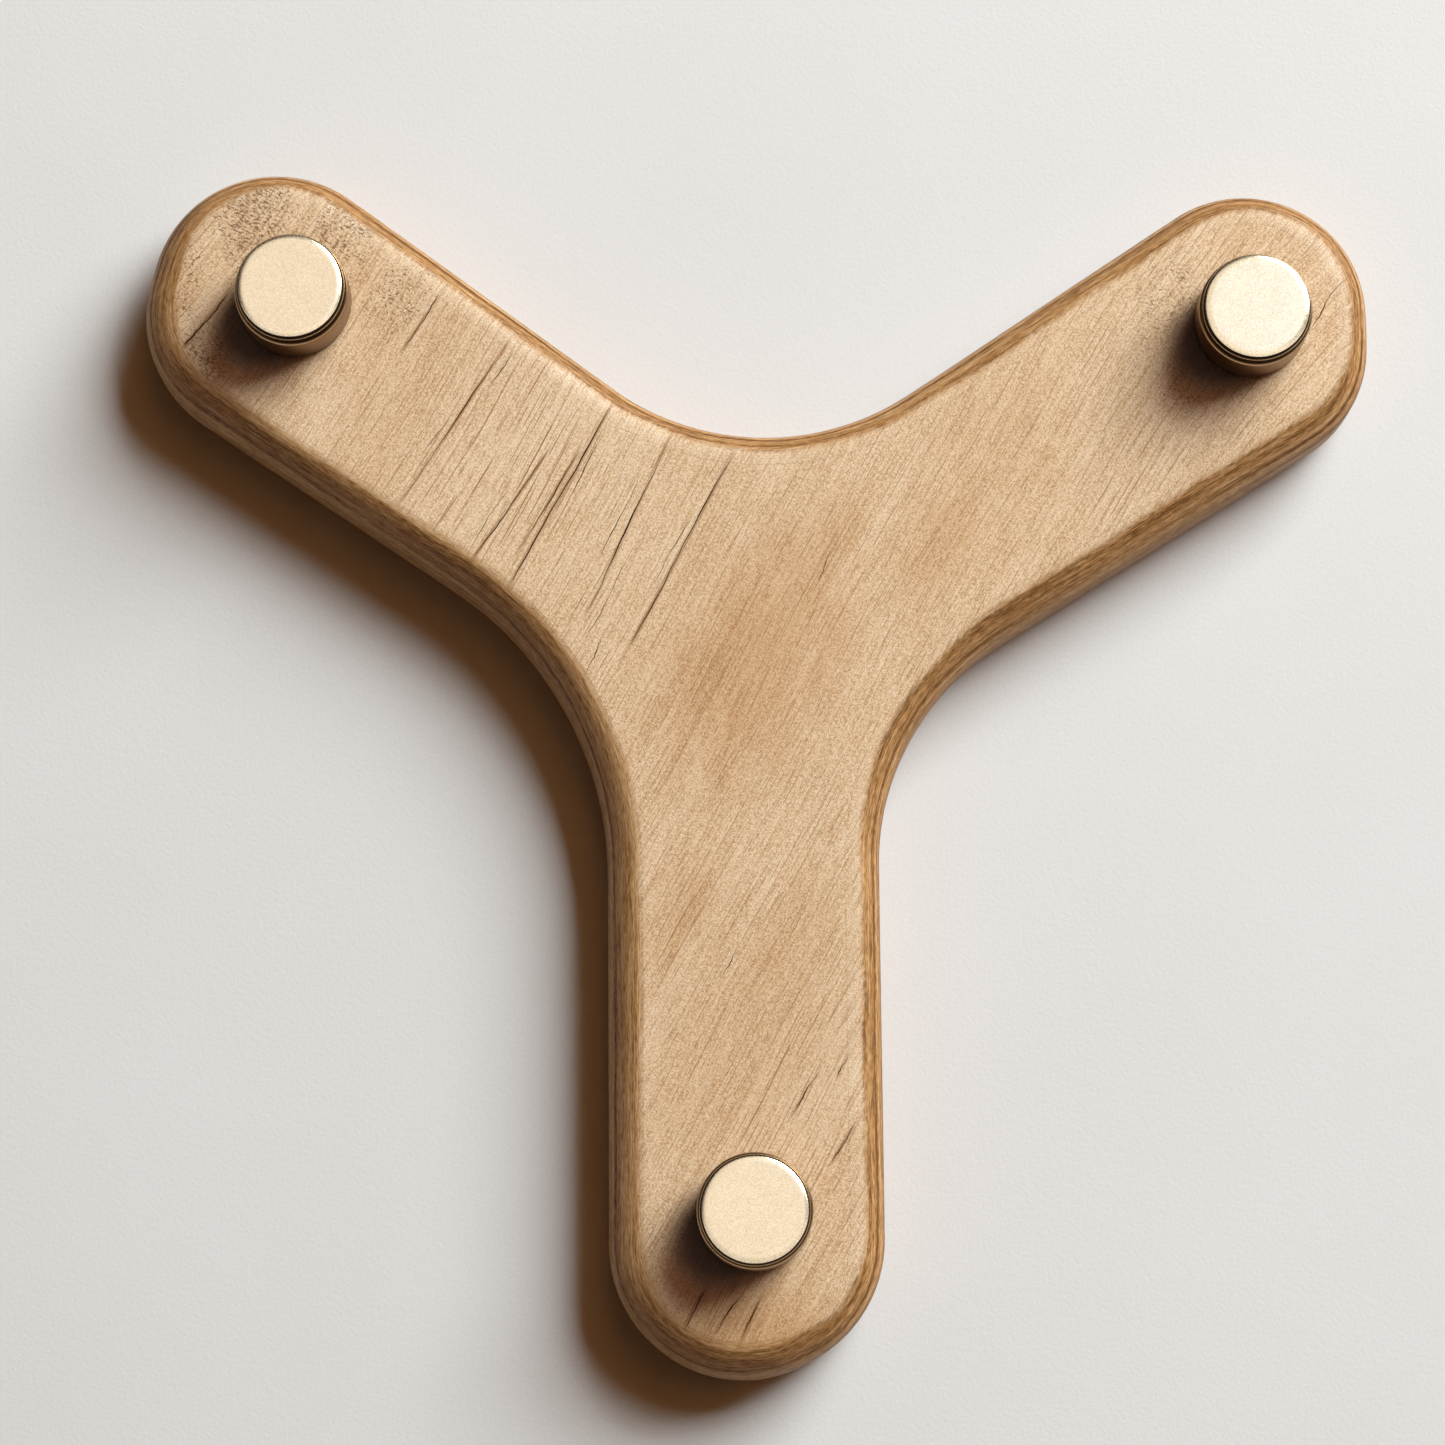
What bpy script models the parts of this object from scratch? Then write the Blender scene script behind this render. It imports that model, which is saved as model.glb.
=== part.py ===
"""Wall rack cut from one thick board in the shape of a three-armed boomerang, with a brass peg on each arm.

Metres, +Z up. The rack hangs on a wall: its flat back lies in the plane Y = 0, its front faces -Y,
and the origin is the middle of the hub on the back. Each peg is a hollow barrel screwed to the board
from inside and closed by a cap, whose threaded stud screws in and out along the peg's axis.
"""

from math import ceil, cos, pi, radians, sin, tau

import bmesh
import bpy
from mathutils import Matrix, Vector

MM = 0.001
GAP = 0.3 * MM  # kept between a piece and the neighbour it rests on

# Board outline, in the plane of the wall (x to the right, z up), arm by arm, counter-clockwise.
# An arm points along its heading and widens by its flare on both edges towards the tip. The tip is
# two corner arcs of one radius, spread apart across the arm and skewed, which is a squared half circle.
ARM_TIPS = ((112.5 * MM, 72.7 * MM), (-106.3 * MM, 78.5 * MM), (0.3 * MM, -131.2 * MM))
ARM_HEADINGS = (radians(33.0), radians(144.9), radians(270.5))
ARM_FLARES = (radians(0.9), radians(1.2), radians(0.1))
CORNER_RADII = (27.3 * MM, 28.0 * MM, 29.3 * MM)
CORNER_SPREADS = (3.6 * MM, 2.4 * MM, 1.0 * MM)
CORNER_SKEWS = (radians(-32.0), radians(21.4), radians(30.8))
CROTCH_RADII = (57.3 * MM, 79.6 * MM, 59.0 * MM)  # the hollow after each arm
CORNER_STEP = radians(7.5)
CROTCH_STEP = radians(4.5)

BOARD_THICKNESS = 20.0 * MM
FRONT_ROUND = 8.0 * MM
BACK_ROUND = 6.0 * MM
ROUND_SEGMENTS = 5

# Pegs: centres on the board's front, then lengths along the peg's axis and radii about it.
PEG_CENTRES = {
    "left": (-100.5 * MM, 77.7 * MM),
    "right": (112.9 * MM, 73.0 * MM),
    "lower": (2.0 * MM, -125.4 * MM),
}
BARREL_RADIUS = 12.6 * MM
BARREL_LENGTH = 11.0 * MM
BARREL_FLOOR = 2.7 * MM
BARREL_LIP_ROUND = 0.6 * MM
RING_THICKNESS = 0.4 * MM
RING_HOLE_RADIUS = 4.6 * MM
FOOT_RING_RADIUS = 12.0 * MM
CAP_RING_RADIUS = 11.5 * MM
CAP_RADIUS = 12.1 * MM
CAP_HEIGHT = 3.0 * MM
CAP_FLAT_RADIUS = 10.3 * MM
CAP_CREASE_RADIUS = 11.45 * MM
CAP_CREASE_DROP = 0.35 * MM
CAP_SHOULDER_DROP = 1.6 * MM
CAP_FOOT_CHAMFER = 0.2 * MM
CAP_SOCKET_DEPTH = 1.6 * MM
STUD_RADIUS = 4.0 * MM
STUD_LENGTH = 9.5 * MM
STUD_CHAMFER = 0.6 * MM
ROUND_SIDES = 36
SMALL_SIDES = 16

# Countersunk cross-head wood screws: one in each barrel's floor, two in each hanging plate.
PEG_SCREW = dict(head=3.9 * MM, shank=2.0 * MM, length=18.0 * MM)
PLATE_SCREW = dict(head=2.8 * MM, shank=1.4 * MM, length=12.0 * MM)
HEAD_RIM = 0.3 * MM
POINT_SLOPE = 2.0  # the point's length over the shank's radius
CROSS_LENGTH_SHARE = 1.15  # the driver cross, as shares of the head's radius
CROSS_WIDTH_SHARE = 0.26
CROSS_DEPTH_SHARE = 0.35
PILOT_EXTRA = 0.5 * MM  # how much deeper a pilot hole is than its screw

# Keyhole hanging plates, let into the back of the two upper arms.
PLATE_CENTRES = {"left": (-58.0 * MM, 40.0 * MM), "right": (58.0 * MM, 40.0 * MM)}
PLATE_LENGTH = 38.0 * MM
PLATE_WIDTH = 16.0 * MM
PLATE_THICKNESS = 1.6 * MM
PLATE_SINK = 0.2 * MM  # how far the plate's face lies below the back of the board
PLATE_SCREW_REACH = 14.5 * MM  # from the plate's middle to each of its screws
KEYHOLE_HEAD_RADIUS = 4.5 * MM
KEYHOLE_SLOT_RADIUS = 2.3 * MM
KEYHOLE_HEAD_DROP = 4.5 * MM  # from the plate's middle down to the wide hole
KEYHOLE_SLOT_RISE = 4.5 * MM  # from the plate's middle up to the end of the slot
HEAD_POCKET_RADIUS = 6.0 * MM
HEAD_POCKET_DEPTH = 7.0 * MM
PLATE_HOLE_SIDES = 24


# --- materials -------------------------------------------------------------------------------


def make_material(name, colour, roughness, metallic):
    material = bpy.data.materials.new(name)
    material.use_nodes = True
    shader = material.node_tree.nodes["Principled BSDF"]
    shader.inputs["Base Color"].default_value = (*colour, 1.0)
    shader.inputs["Roughness"].default_value = roughness
    shader.inputs["Metallic"].default_value = metallic
    material.diffuse_color = (*colour, 1.0)
    return material


def make_materials():
    return {
        "wood": make_material("oiled_wood", (0.58, 0.36, 0.20), 0.5, 0.0),
        "brass": make_material("satin_brass", (0.80, 0.62, 0.38), 0.3, 1.0),
        "stud": make_material("turned_brass", (0.66, 0.48, 0.26), 0.35, 1.0),
        "ring": make_material("dark_nylon", (0.035, 0.025, 0.02), 0.6, 0.0),
        "screw": make_material("zinc_screw", (0.70, 0.68, 0.62), 0.3, 1.0),
        "plate": make_material("zinc_plate", (0.62, 0.62, 0.60), 0.35, 1.0),
    }


# --- scene and mesh helpers ------------------------------------------------------------------


def clear_scene():
    for obj in list(bpy.data.objects):
        bpy.data.objects.remove(obj, do_unlink=True)


def new_collection(name):
    collection = bpy.data.collections.new(name)
    bpy.context.scene.collection.children.link(collection)
    return collection


def add_object(name, data, collection, seat=None, height=0.0):
    """Link an object; on a seat it stands this far along the seat's own +Z axis."""
    obj = bpy.data.objects.new(name, data)
    collection.objects.link(obj)
    obj.parent = seat
    obj.location = (0.0, 0.0, height)
    return obj


def turned(name, profile, sides, collection, seat, height=0.0, material=None):
    """A solid turned about its own Z axis from (radius, height) points that run down the outer side.

    A profile that starts off the axis is a ring, and its last point joins its first.
    """
    points = [(radius, 0.0, level) for radius, level in profile]
    edges = [(i, i + 1) for i in range(len(points) - 1)]
    if points[0][0] > 0.0:
        edges.append((len(points) - 1, 0))
    mesh = bpy.data.meshes.new(name)
    mesh.from_pydata(points, edges, [])
    if material is not None:
        mesh.materials.append(material)
    obj = add_object(name, mesh, collection, seat, height)
    screw = obj.modifiers.new("turn", "SCREW")
    screw.axis = "Z"
    screw.angle = tau
    screw.steps = sides
    screw.render_steps = sides
    screw.use_merge_vertices = True
    screw.merge_threshold = 0.01 * MM
    screw.use_smooth_shade = True
    return obj


def flat_outline(name, points, thickness, collection):
    """A plate of this outline in its own XY plane, half its thickness on each side, as a mesh object."""
    curve = bpy.data.curves.new(name, "CURVE")
    curve.dimensions = "2D"
    curve.fill_mode = "BOTH"
    curve.extrude = thickness / 2.0
    curve.resolution_u = 1
    curve.render_resolution_u = 0
    spline = curve.splines.new("POLY")
    spline.points.add(len(points) - 1)
    for point, (x, y) in zip(spline.points, points):
        point.co = (x, y, 0.0, 1.0)
    spline.use_cyclic_u = True
    guide = add_object(name + "_outline", curve, collection)
    evaluated = guide.evaluated_get(bpy.context.evaluated_depsgraph_get())
    mesh = bpy.data.meshes.new_from_object(evaluated)
    mesh.name = name
    obj = add_object(name, mesh, collection)
    obj.matrix_world = guide.matrix_world
    bpy.data.objects.remove(guide, do_unlink=True)
    merge_flat_faces(mesh)
    return obj


def merge_flat_faces(mesh):
    """Weld a filled curve's caps to its sides, and make each cap one face."""
    bm = bmesh.new()
    bm.from_mesh(mesh)
    bmesh.ops.remove_doubles(bm, verts=bm.verts, dist=0.001 * MM)
    inside_cap = [
        edge
        for edge in bm.edges
        if edge.calc_face_angle(pi) < radians(0.1)
        and abs(edge.verts[0].co.z - edge.verts[1].co.z) < 0.001 * MM
    ]
    bmesh.ops.dissolve_edges(bm, edges=inside_cap, use_verts=False)
    bmesh.ops.recalc_face_normals(bm, faces=bm.faces)
    bm.to_mesh(mesh)
    bm.free()


def cut(obj, cutter):
    cutter.hide_render = True
    cutter.display_type = "WIRE"
    boolean = obj.modifiers.new("cut_" + cutter.name, "BOOLEAN")
    boolean.operation = "DIFFERENCE"
    boolean.solver = "EXACT"
    boolean.object = cutter


def box_cutter(name, size, collection, seat, height, turn=0.0):
    bm = bmesh.new()
    bmesh.ops.create_cube(bm, size=1.0, matrix=Matrix.Diagonal((*size, 1.0)))
    mesh = bpy.data.meshes.new(name)
    bm.to_mesh(mesh)
    bm.free()
    cutter = add_object(name, mesh, collection, seat, height)
    cutter.rotation_euler.z = turn
    return cutter


def hole_cutter(name, radius, low, high, collection, seat, sides=SMALL_SIDES):
    profile = ((0.0, high), (radius, high), (radius, low), (0.0, low))
    return turned(name, profile, sides, collection, seat)


# --- board -----------------------------------------------------------------------------------


def unit(angle):
    return Vector((cos(angle), sin(angle)))


def arc_points(centre, radius, start, end, step):
    """Points on an arc between two angles, by the shorter way round."""
    sweep = (end - start + pi) % tau - pi
    count = max(2, ceil(abs(sweep) / step))
    return [centre + radius * unit(start + sweep * i / count) for i in range(count + 1)]


def arm_shape(index):
    """An arm's two corner centres, and the outward angles of its two edges and of its end."""
    tip = Vector(ARM_TIPS[index])
    heading = ARM_HEADINGS[index]
    across = heading + pi / 2.0 + CORNER_SKEWS[index]
    return {
        "first_corner": tip - CORNER_SPREADS[index] * unit(across),
        "last_corner": tip + CORNER_SPREADS[index] * unit(across),
        "radius": CORNER_RADII[index],
        "first_edge": heading - ARM_FLARES[index] - pi / 2.0,
        "end": across - pi / 2.0,
        "last_edge": heading + ARM_FLARES[index] + pi / 2.0,
    }


def crotch_centre(arm, following, radius):
    """The centre of the hollow that touches one arm's last edge and the next arm's first edge."""
    first, second = unit(arm["last_edge"]), unit(following["first_edge"])
    facing = Matrix((first, second))
    distance = Vector((
        radius + arm["radius"] + arm["last_corner"].dot(first),
        radius + following["radius"] + following["first_corner"].dot(second),
    ))
    return facing.inverted() @ distance


def board_outline():
    arms = [arm_shape(index) for index in range(len(ARM_TIPS))]
    points = []
    for index, arm in enumerate(arms):
        following = arms[(index + 1) % len(arms)]
        hollow = CROTCH_RADII[index]
        centre = crotch_centre(arm, following, hollow)
        points += arc_points(arm["first_corner"], arm["radius"], arm["first_edge"], arm["end"], CORNER_STEP)
        points += arc_points(arm["last_corner"], arm["radius"], arm["end"], arm["last_edge"], CORNER_STEP)
        points += arc_points(centre, -hollow, arm["last_edge"], following["first_edge"], CROTCH_STEP)
    return points


def round_over(board):
    """Round both rims of the board, the back by less than the front."""
    mesh = board.data
    weights = mesh.attributes.new("bevel_weight_edge", "FLOAT", "EDGE")
    bm = bmesh.new()
    bm.from_mesh(mesh)
    bm.edges.ensure_lookup_table()
    for edge in bm.edges:
        level = edge.verts[0].co.z
        in_rim = abs(level - edge.verts[1].co.z) < 0.001 * MM and edge.calc_face_angle(0.0) > radians(60.0)
        if in_rim:
            weights.data[edge.index].value = 1.0 if level > 0.0 else BACK_ROUND / FRONT_ROUND
    bm.free()
    bevel = board.modifiers.new("round_over", "BEVEL")
    bevel.limit_method = "WEIGHT"
    bevel.width = FRONT_ROUND
    bevel.segments = ROUND_SEGMENTS
    bevel.use_clamp_overlap = False


def make_board(collection, materials):
    board = flat_outline("board", board_outline(), BOARD_THICKNESS, collection)
    board.location = (0.0, -BOARD_THICKNESS / 2.0, 0.0)
    board.rotation_euler = (pi / 2.0, 0.0, 0.0)
    board.data.materials.append(materials["wood"])
    round_over(board)
    return board


# --- screws ----------------------------------------------------------------------------------


def make_wood_screw(name, size, collection, cutters, seat, height, materials):
    """A countersunk screw whose head's top is at this height, pointing down the seat's axis."""
    head, shank, length = size["head"], size["shank"], size["length"]
    profile = (
        (0.0, 0.0),
        (head, 0.0),
        (head, -HEAD_RIM),
        (shank, -HEAD_RIM - (head - shank)),
        (shank, -length + POINT_SLOPE * shank),
        (0.0, -length),
    )
    screw = turned(name, profile, SMALL_SIDES, collection, seat, height, materials["screw"])
    depth = head * CROSS_DEPTH_SHARE
    arm = (head * CROSS_LENGTH_SHARE, head * CROSS_WIDTH_SHARE, 2.0 * depth)
    for number, turn in enumerate((pi / 4.0, 3.0 * pi / 4.0), start=1):
        cut(screw, box_cutter(f"{name}_cross_{number}", arm, cutters, seat, height, turn))
    return screw


def screw_hole(name, size, low_extra, seat, height, cutters):
    """The pilot hole that leaves a gap round a screw whose head's top is at this height."""
    low = height - size["length"] - PILOT_EXTRA
    return hole_cutter(name, size["shank"] + GAP, low, height + low_extra, cutters, seat)


# --- pegs ------------------------------------------------------------------------------------


def ring_profile(radius):
    return (
        (RING_HOLE_RADIUS, RING_THICKNESS),
        (radius, RING_THICKNESS),
        (radius, 0.0),
        (RING_HOLE_RADIUS, 0.0),
    )


def barrel_profile():
    """A cup with a screw seat in its floor, from the bore's mouth out and down, then up inside."""
    bore = STUD_RADIUS + GAP
    hole = bore - (PEG_SCREW["head"] - PEG_SCREW["shank"])
    lip_centre = (BARREL_RADIUS - BARREL_LIP_ROUND, BARREL_LENGTH - BARREL_LIP_ROUND)
    lip = [
        (lip_centre[0] + BARREL_LIP_ROUND * sin(angle), lip_centre[1] + BARREL_LIP_ROUND * cos(angle))
        for angle in (0.0, pi / 6.0, pi / 3.0, pi / 2.0)
    ]
    return (
        (bore, BARREL_LENGTH),
        *lip,
        (BARREL_RADIUS, 0.0),
        (hole, 0.0),
        (hole, BARREL_FLOOR - (bore - hole)),
        (bore, BARREL_FLOOR),
    )


def cap_profile():
    """A button with a softened face, a crease and a steep shoulder, and a blind socket for its stud."""
    socket = STUD_RADIUS + GAP
    dish = CAP_CREASE_RADIUS - CAP_FLAT_RADIUS
    shoulder = CAP_RADIUS - CAP_CREASE_RADIUS
    shoulder_height = CAP_SHOULDER_DROP - CAP_CREASE_DROP
    face = [
        (CAP_FLAT_RADIUS + dish * share, CAP_HEIGHT - CAP_CREASE_DROP * share**2)
        for share in (0.0, 0.5, 1.0)
    ]
    side = [
        (CAP_CREASE_RADIUS + shoulder * sin(angle), CAP_HEIGHT - CAP_SHOULDER_DROP + shoulder_height * cos(angle))
        for angle in (pi / 6.0, pi / 3.0, pi / 2.0)
    ]
    return (
        (0.0, CAP_HEIGHT),
        *face,
        *side,
        (CAP_RADIUS, CAP_FOOT_CHAMFER),
        (CAP_RADIUS - CAP_FOOT_CHAMFER, 0.0),
        (socket, 0.0),
        (socket, CAP_SOCKET_DEPTH),
        (0.0, CAP_SOCKET_DEPTH),
    )


def stud_profile():
    return (
        (0.0, STUD_LENGTH),
        (STUD_RADIUS, STUD_LENGTH),
        (STUD_RADIUS, STUD_CHAMFER),
        (STUD_RADIUS - STUD_CHAMFER, 0.0),
        (0.0, 0.0),
    )


def peg_seat(side, collection):
    """An empty on the board's front whose own +Z axis is the peg's axis, pointing out of the board."""
    seat = add_object(f"{side}_peg_axis", None, collection)
    x, z = PEG_CENTRES[side]
    seat.location = (x, -BOARD_THICKNESS, z)
    seat.rotation_euler = (pi / 2.0, 0.0, 0.0)
    return seat


def make_peg(side, board, collection, cutters, materials):
    seat = peg_seat(side, collection)
    foot_level = GAP
    barrel_level = foot_level + RING_THICKNESS + GAP
    screw_level = barrel_level + BARREL_FLOOR + HEAD_RIM
    ring_level = barrel_level + BARREL_LENGTH + GAP
    cap_level = ring_level + RING_THICKNESS + GAP
    stud_level = cap_level + CAP_SOCKET_DEPTH - GAP - STUD_LENGTH

    def turn(piece, profile, sides, level, material):
        turned(f"{side}_{piece}", profile, sides, collection, seat, level, materials[material])

    turn("foot_ring", ring_profile(FOOT_RING_RADIUS), ROUND_SIDES, foot_level, "ring")
    turn("peg_barrel", barrel_profile(), ROUND_SIDES, barrel_level, "brass")
    turn("cap_ring", ring_profile(CAP_RING_RADIUS), ROUND_SIDES, ring_level, "ring")
    turn("peg_cap", cap_profile(), ROUND_SIDES, cap_level, "brass")
    turn("cap_stud", stud_profile(), SMALL_SIDES, stud_level, "stud")
    make_wood_screw(f"{side}_peg_screw", PEG_SCREW, collection, cutters, seat, screw_level, materials)
    cut(board, screw_hole(f"{side}_peg_pilot", PEG_SCREW, 0.0, seat, screw_level, cutters))


# --- hanging plates --------------------------------------------------------------------------


def plate_seat(side, collection):
    """An empty on the board's back whose own +Z axis points at the wall and whose +Y axis is up."""
    seat = add_object(f"{side}_plate_seat", None, collection)
    x, z = PLATE_CENTRES[side]
    seat.location = (x, 0.0, z)
    seat.rotation_euler = (pi / 2.0, 0.0, pi)
    return seat


def round_ended(length, width, steps=8):
    """The outline of a bar with half-round ends, upright about the origin."""
    radius = width / 2.0
    reach = length / 2.0 - radius
    upper = [Vector((0.0, reach)) + radius * unit(pi * i / steps) for i in range(steps + 1)]
    lower = [-point for point in upper]
    return upper + lower


def bar_cutter(name, length, width, low, high, seat, middle, cutters):
    cutter = flat_outline(name, round_ended(length, width), high - low, cutters)
    cutter.parent = seat
    cutter.location = (0.0, middle, (low + high) / 2.0)
    return cutter


def make_plate(side, board, collection, cutters, materials):
    seat = plate_seat(side, collection)
    name = f"{side}_keyhole_plate"
    face = -PLATE_SINK
    back = face - PLATE_THICKNESS
    above = PLATE_THICKNESS

    plate = flat_outline(name, round_ended(PLATE_LENGTH, PLATE_WIDTH), PLATE_THICKNESS, collection)
    plate.parent = seat
    plate.location = (0.0, 0.0, (face + back) / 2.0)
    plate.data.materials.append(materials["plate"])

    head = hole_cutter(f"{name}_head_hole", KEYHOLE_HEAD_RADIUS, back - above, above, cutters, seat, PLATE_HOLE_SIDES)
    head.location.y = -KEYHOLE_HEAD_DROP
    cut(plate, head)
    slot_length = KEYHOLE_SLOT_RISE + KEYHOLE_HEAD_DROP + 2.0 * KEYHOLE_SLOT_RADIUS
    slot_middle = (KEYHOLE_SLOT_RISE - KEYHOLE_HEAD_DROP) / 2.0
    slot_width = 2.0 * KEYHOLE_SLOT_RADIUS
    cut(plate, bar_cutter(f"{name}_slot", slot_length, slot_width, back - above, above, seat, slot_middle, cutters))

    recess = (PLATE_LENGTH + 2.0 * GAP, PLATE_WIDTH + 2.0 * GAP)
    cut(board, bar_cutter(f"{name}_recess", *recess, back - GAP, above, seat, 0.0, cutters))
    pocket_length = KEYHOLE_SLOT_RISE + KEYHOLE_HEAD_DROP + 2.0 * HEAD_POCKET_RADIUS
    pocket = (pocket_length, 2.0 * HEAD_POCKET_RADIUS)
    cut(board, bar_cutter(f"{name}_pocket", *pocket, -HEAD_POCKET_DEPTH, above, seat, slot_middle, cutters))

    for end, reach in (("upper", PLATE_SCREW_REACH), ("lower", -PLATE_SCREW_REACH)):
        spot = add_object(f"{side}_plate_screw_{end}_seat", None, collection, seat)
        spot.location.y = reach
        make_wood_screw(f"{side}_plate_screw_{end}", PLATE_SCREW, collection, cutters, spot, face, materials)
        sink = turned(f"{name}_{end}_sink", countersink_profile(PLATE_SCREW, above), SMALL_SIDES, cutters, spot, face)
        cut(plate, sink)
        cut(board, screw_hole(f"{side}_plate_pilot_{end}", PLATE_SCREW, above, spot, face, cutters))


def countersink_profile(size, above):
    """The seat of a countersunk head, a gap wider than the head, from above the face to through the plate."""
    mouth = size["head"] + GAP
    hole = size["shank"] + GAP
    return (
        (0.0, above),
        (mouth, above),
        (mouth, -HEAD_RIM),
        (hole, -HEAD_RIM - (mouth - hole)),
        (hole, -size["length"] / 2.0),
        (0.0, -size["length"] / 2.0),
    )


# --- assembly --------------------------------------------------------------------------------


def build():
    clear_scene()
    rack = new_collection("boomerang_wall_rack")
    cutters = new_collection("cutters")
    materials = make_materials()
    board = make_board(rack, materials)
    for side in PEG_CENTRES:
        make_peg(side, board, rack, cutters, materials)
    for side in PLATE_CENTRES:
        make_plate(side, board, rack, cutters, materials)


build()
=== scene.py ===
"""Looks for the boomerang wall rack: an oiled light-wood board with three satin brass standoff pegs.

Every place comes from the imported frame. Lengths are in metres; MM and the millimetre coordinates inside
the wood's shader are named as such. The front of the rack faces -Y and its flat back lies on the wall, Y = 0.
"""

from math import acos, ceil, cos, pi, radians, sin, tau

import bmesh
import bpy
import numpy as np
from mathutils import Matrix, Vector
from mathutils.kdtree import KDTree


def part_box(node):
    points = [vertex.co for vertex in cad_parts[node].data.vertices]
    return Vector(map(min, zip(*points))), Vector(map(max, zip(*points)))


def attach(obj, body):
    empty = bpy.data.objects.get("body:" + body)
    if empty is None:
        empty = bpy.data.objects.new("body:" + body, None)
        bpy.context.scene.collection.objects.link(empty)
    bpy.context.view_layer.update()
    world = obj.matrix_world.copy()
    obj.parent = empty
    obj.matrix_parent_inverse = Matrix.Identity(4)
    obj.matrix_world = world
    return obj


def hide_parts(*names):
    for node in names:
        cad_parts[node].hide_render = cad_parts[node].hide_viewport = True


MM = 0.001
SIDES = ("left", "right", "lower")

# Board: how the CAD solid is rounded, and how finely the visible mesh follows it.
FRONT_ROUND = 8.0 * MM
BACK_ROUND = 6.0 * MM
OUTLINE_STEP = 1.8 * MM
ROUND_STEPS = 11
FACE_INSETS = (1.5 * MM, 4.0 * MM, 8.0 * MM, 13.0 * MM)
HAND_SANDING = 0.18 * MM  # how far the rounded rim wanders from its arc
FIT_GAP = 0.3 * MM

# Grain lines on the face, in millimetres: across = TILT . (x, z) + BEND * x^3 stays the same along a fibre.
GRAIN_ACROSS = (-0.884, 0.47)
GRAIN_ALONG = (0.47, 0.88)
GRAIN_BEND = 6.5e-6

# Drying checks cut along the grain of the face, in millimetres:
# across at its lower end, across at its upper end, start along the grain, end along the grain, width, depth.
CHECKS = (
    (129.8, 129.7, -1.3, 16.2, 0.34, 0.5),
    (96.2, 95.6, 22.5, 39.2, 0.26, 0.4),
    (80.2, 78.1, -9.0, 35.8, 0.26, 0.4),
    (81.4, 80.6, 2.0, 15.0, 0.2, 0.3),
    (76.6, 76.0, 22.0, 39.0, 0.22, 0.3),
    (61.3, 58.7, -12.7, 18.5, 0.28, 0.4),
    (63.0, 62.2, -8.0, 6.0, 0.22, 0.3),
    (51.5, 51.9, -13.6, 34.2, 0.42, 0.6),
    (53.6, 53.0, -6.0, 21.0, 0.26, 0.4),
    (49.6, 50.2, 2.0, 30.0, 0.22, 0.3),
    (34.0, 36.9, -10.5, 33.8, 0.34, 0.5),
    (37.4, 38.6, 0.0, 24.0, 0.24, 0.3),
    (31.4, 32.0, -16.0, 4.0, 0.22, 0.3),
    (22.4, 22.8, -11.9, 37.2, 0.36, 0.5),
    (24.4, 24.2, 2.0, 21.0, 0.24, 0.3),
    (27.5, 28.9, -24.2, -12.1, 0.24, 0.3),
    (-7.8, -6.5, 16.8, 30.2, 0.2, 0.3),
    (-57.8, -58.5, -86.7, -75.4, 0.3, 0.4),
    (-62.6, -62.4, -75.3, -69.1, 0.26, 0.3),
    (-70.3, -70.7, -91.8, -81.8, 0.28, 0.4),
    (-58.8, -59.0, -140.1, -127.8, 0.3, 0.4),
    (-65.1, -66.2, -136.3, -126.0, 0.34, 0.5),
    (-70.9, -70.1, -134.7, -124.4, 0.3, 0.4),
    (-30.1, -30.1, -68.1, -58.2, 0.22, 0.3),
    (-65.0, -63.5, 121.3, 136.7, 0.22, 0.3),
)
CHECK_STATIONS = 34

# Colours of the wood: the face and the burnished rim from their darkest tone to their lightest, then marks.
FACE_TONES = (
    (0.0, (0.385, 0.200, 0.085)),
    (0.3, (0.570, 0.350, 0.178)),
    (0.6, (0.695, 0.468, 0.275)),
    (1.0, (0.840, 0.640, 0.435)),
)
RIM_TONES = (
    (0.0, (0.140, 0.056, 0.013)),
    (0.3, (0.340, 0.158, 0.048)),
    (0.6, (0.520, 0.288, 0.118)),
    (1.0, (0.720, 0.460, 0.240)),
)
STAIN = (0.78, 0.63, 0.47)
# painted shade that dims the highlight where the rim begins on sides facing the key
KEY_EDGE_SHADE = (0.84, 0.85, 0.87)
LINE_BROWN = (0.270, 0.110, 0.030)
PIT_BROWN = (0.215, 0.092, 0.030)
# dark brown in the checks: painted shade inside the cracks, over their own darker wood
CHECK_SHADE_BROWN = (0.070, 0.028, 0.008)

# Marks of the face, in millimetres. Lines: how far apart, how long, and half their width.
FINE_LINES = (1.1, 50.0, 0.09)
BOLD_LINES = (2.6, 120.0, 0.15)
PIT_SIZE = (0.80, 0.52, 1.0)  # across and along the grain
FLURRY_SIZE = (3.2, 3.2, 1.0)

# Soft patches of the face, as ellipses laid along the grain, in millimetres:
# x, z, half length along the grain, half width across it, strength.
STAINED = (
    (3.0, -2.0, 42.0, 26.0, 0.80),
    (17.0, 19.0, 24.0, 9.0, 0.60),
    (44.0, 24.0, 26.0, 13.0, 0.50),
    (-84.0, 46.0, 34.0, 13.0, 0.18),
    (-106.0, 78.0, 26.0, 24.0, 0.32),
    (-14.0, -60.0, 26.0, 10.0, 0.45),
    (6.0, -72.0, 30.0, 9.0, 0.35),
    (-129.0, 77.0, 16.0, 9.0, 0.35),
    (0.0, -152.0, 20.0, 30.0, 0.90),
    (2.0, -92.0, 46.0, 30.0, 0.30),
    (56.0, 42.0, 40.0, 24.0, 0.25),
)
STREAKED = (
    (-50.0, 42.0, 44.0, 26.0, 1.0),
    (-18.0, -66.0, 36.0, 8.0, 0.7),
    (12.0, -100.0, 40.0, 20.0, 0.9),
    (84.0, 42.0, 26.0, 13.0, 0.7),
    (16.0, 14.0, 28.0, 9.0, 0.5),
    (-10.0, -150.0, 20.0, 18.0, 0.8),
    (-122.0, 60.0, 18.0, 9.0, 0.6),
)
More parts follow.
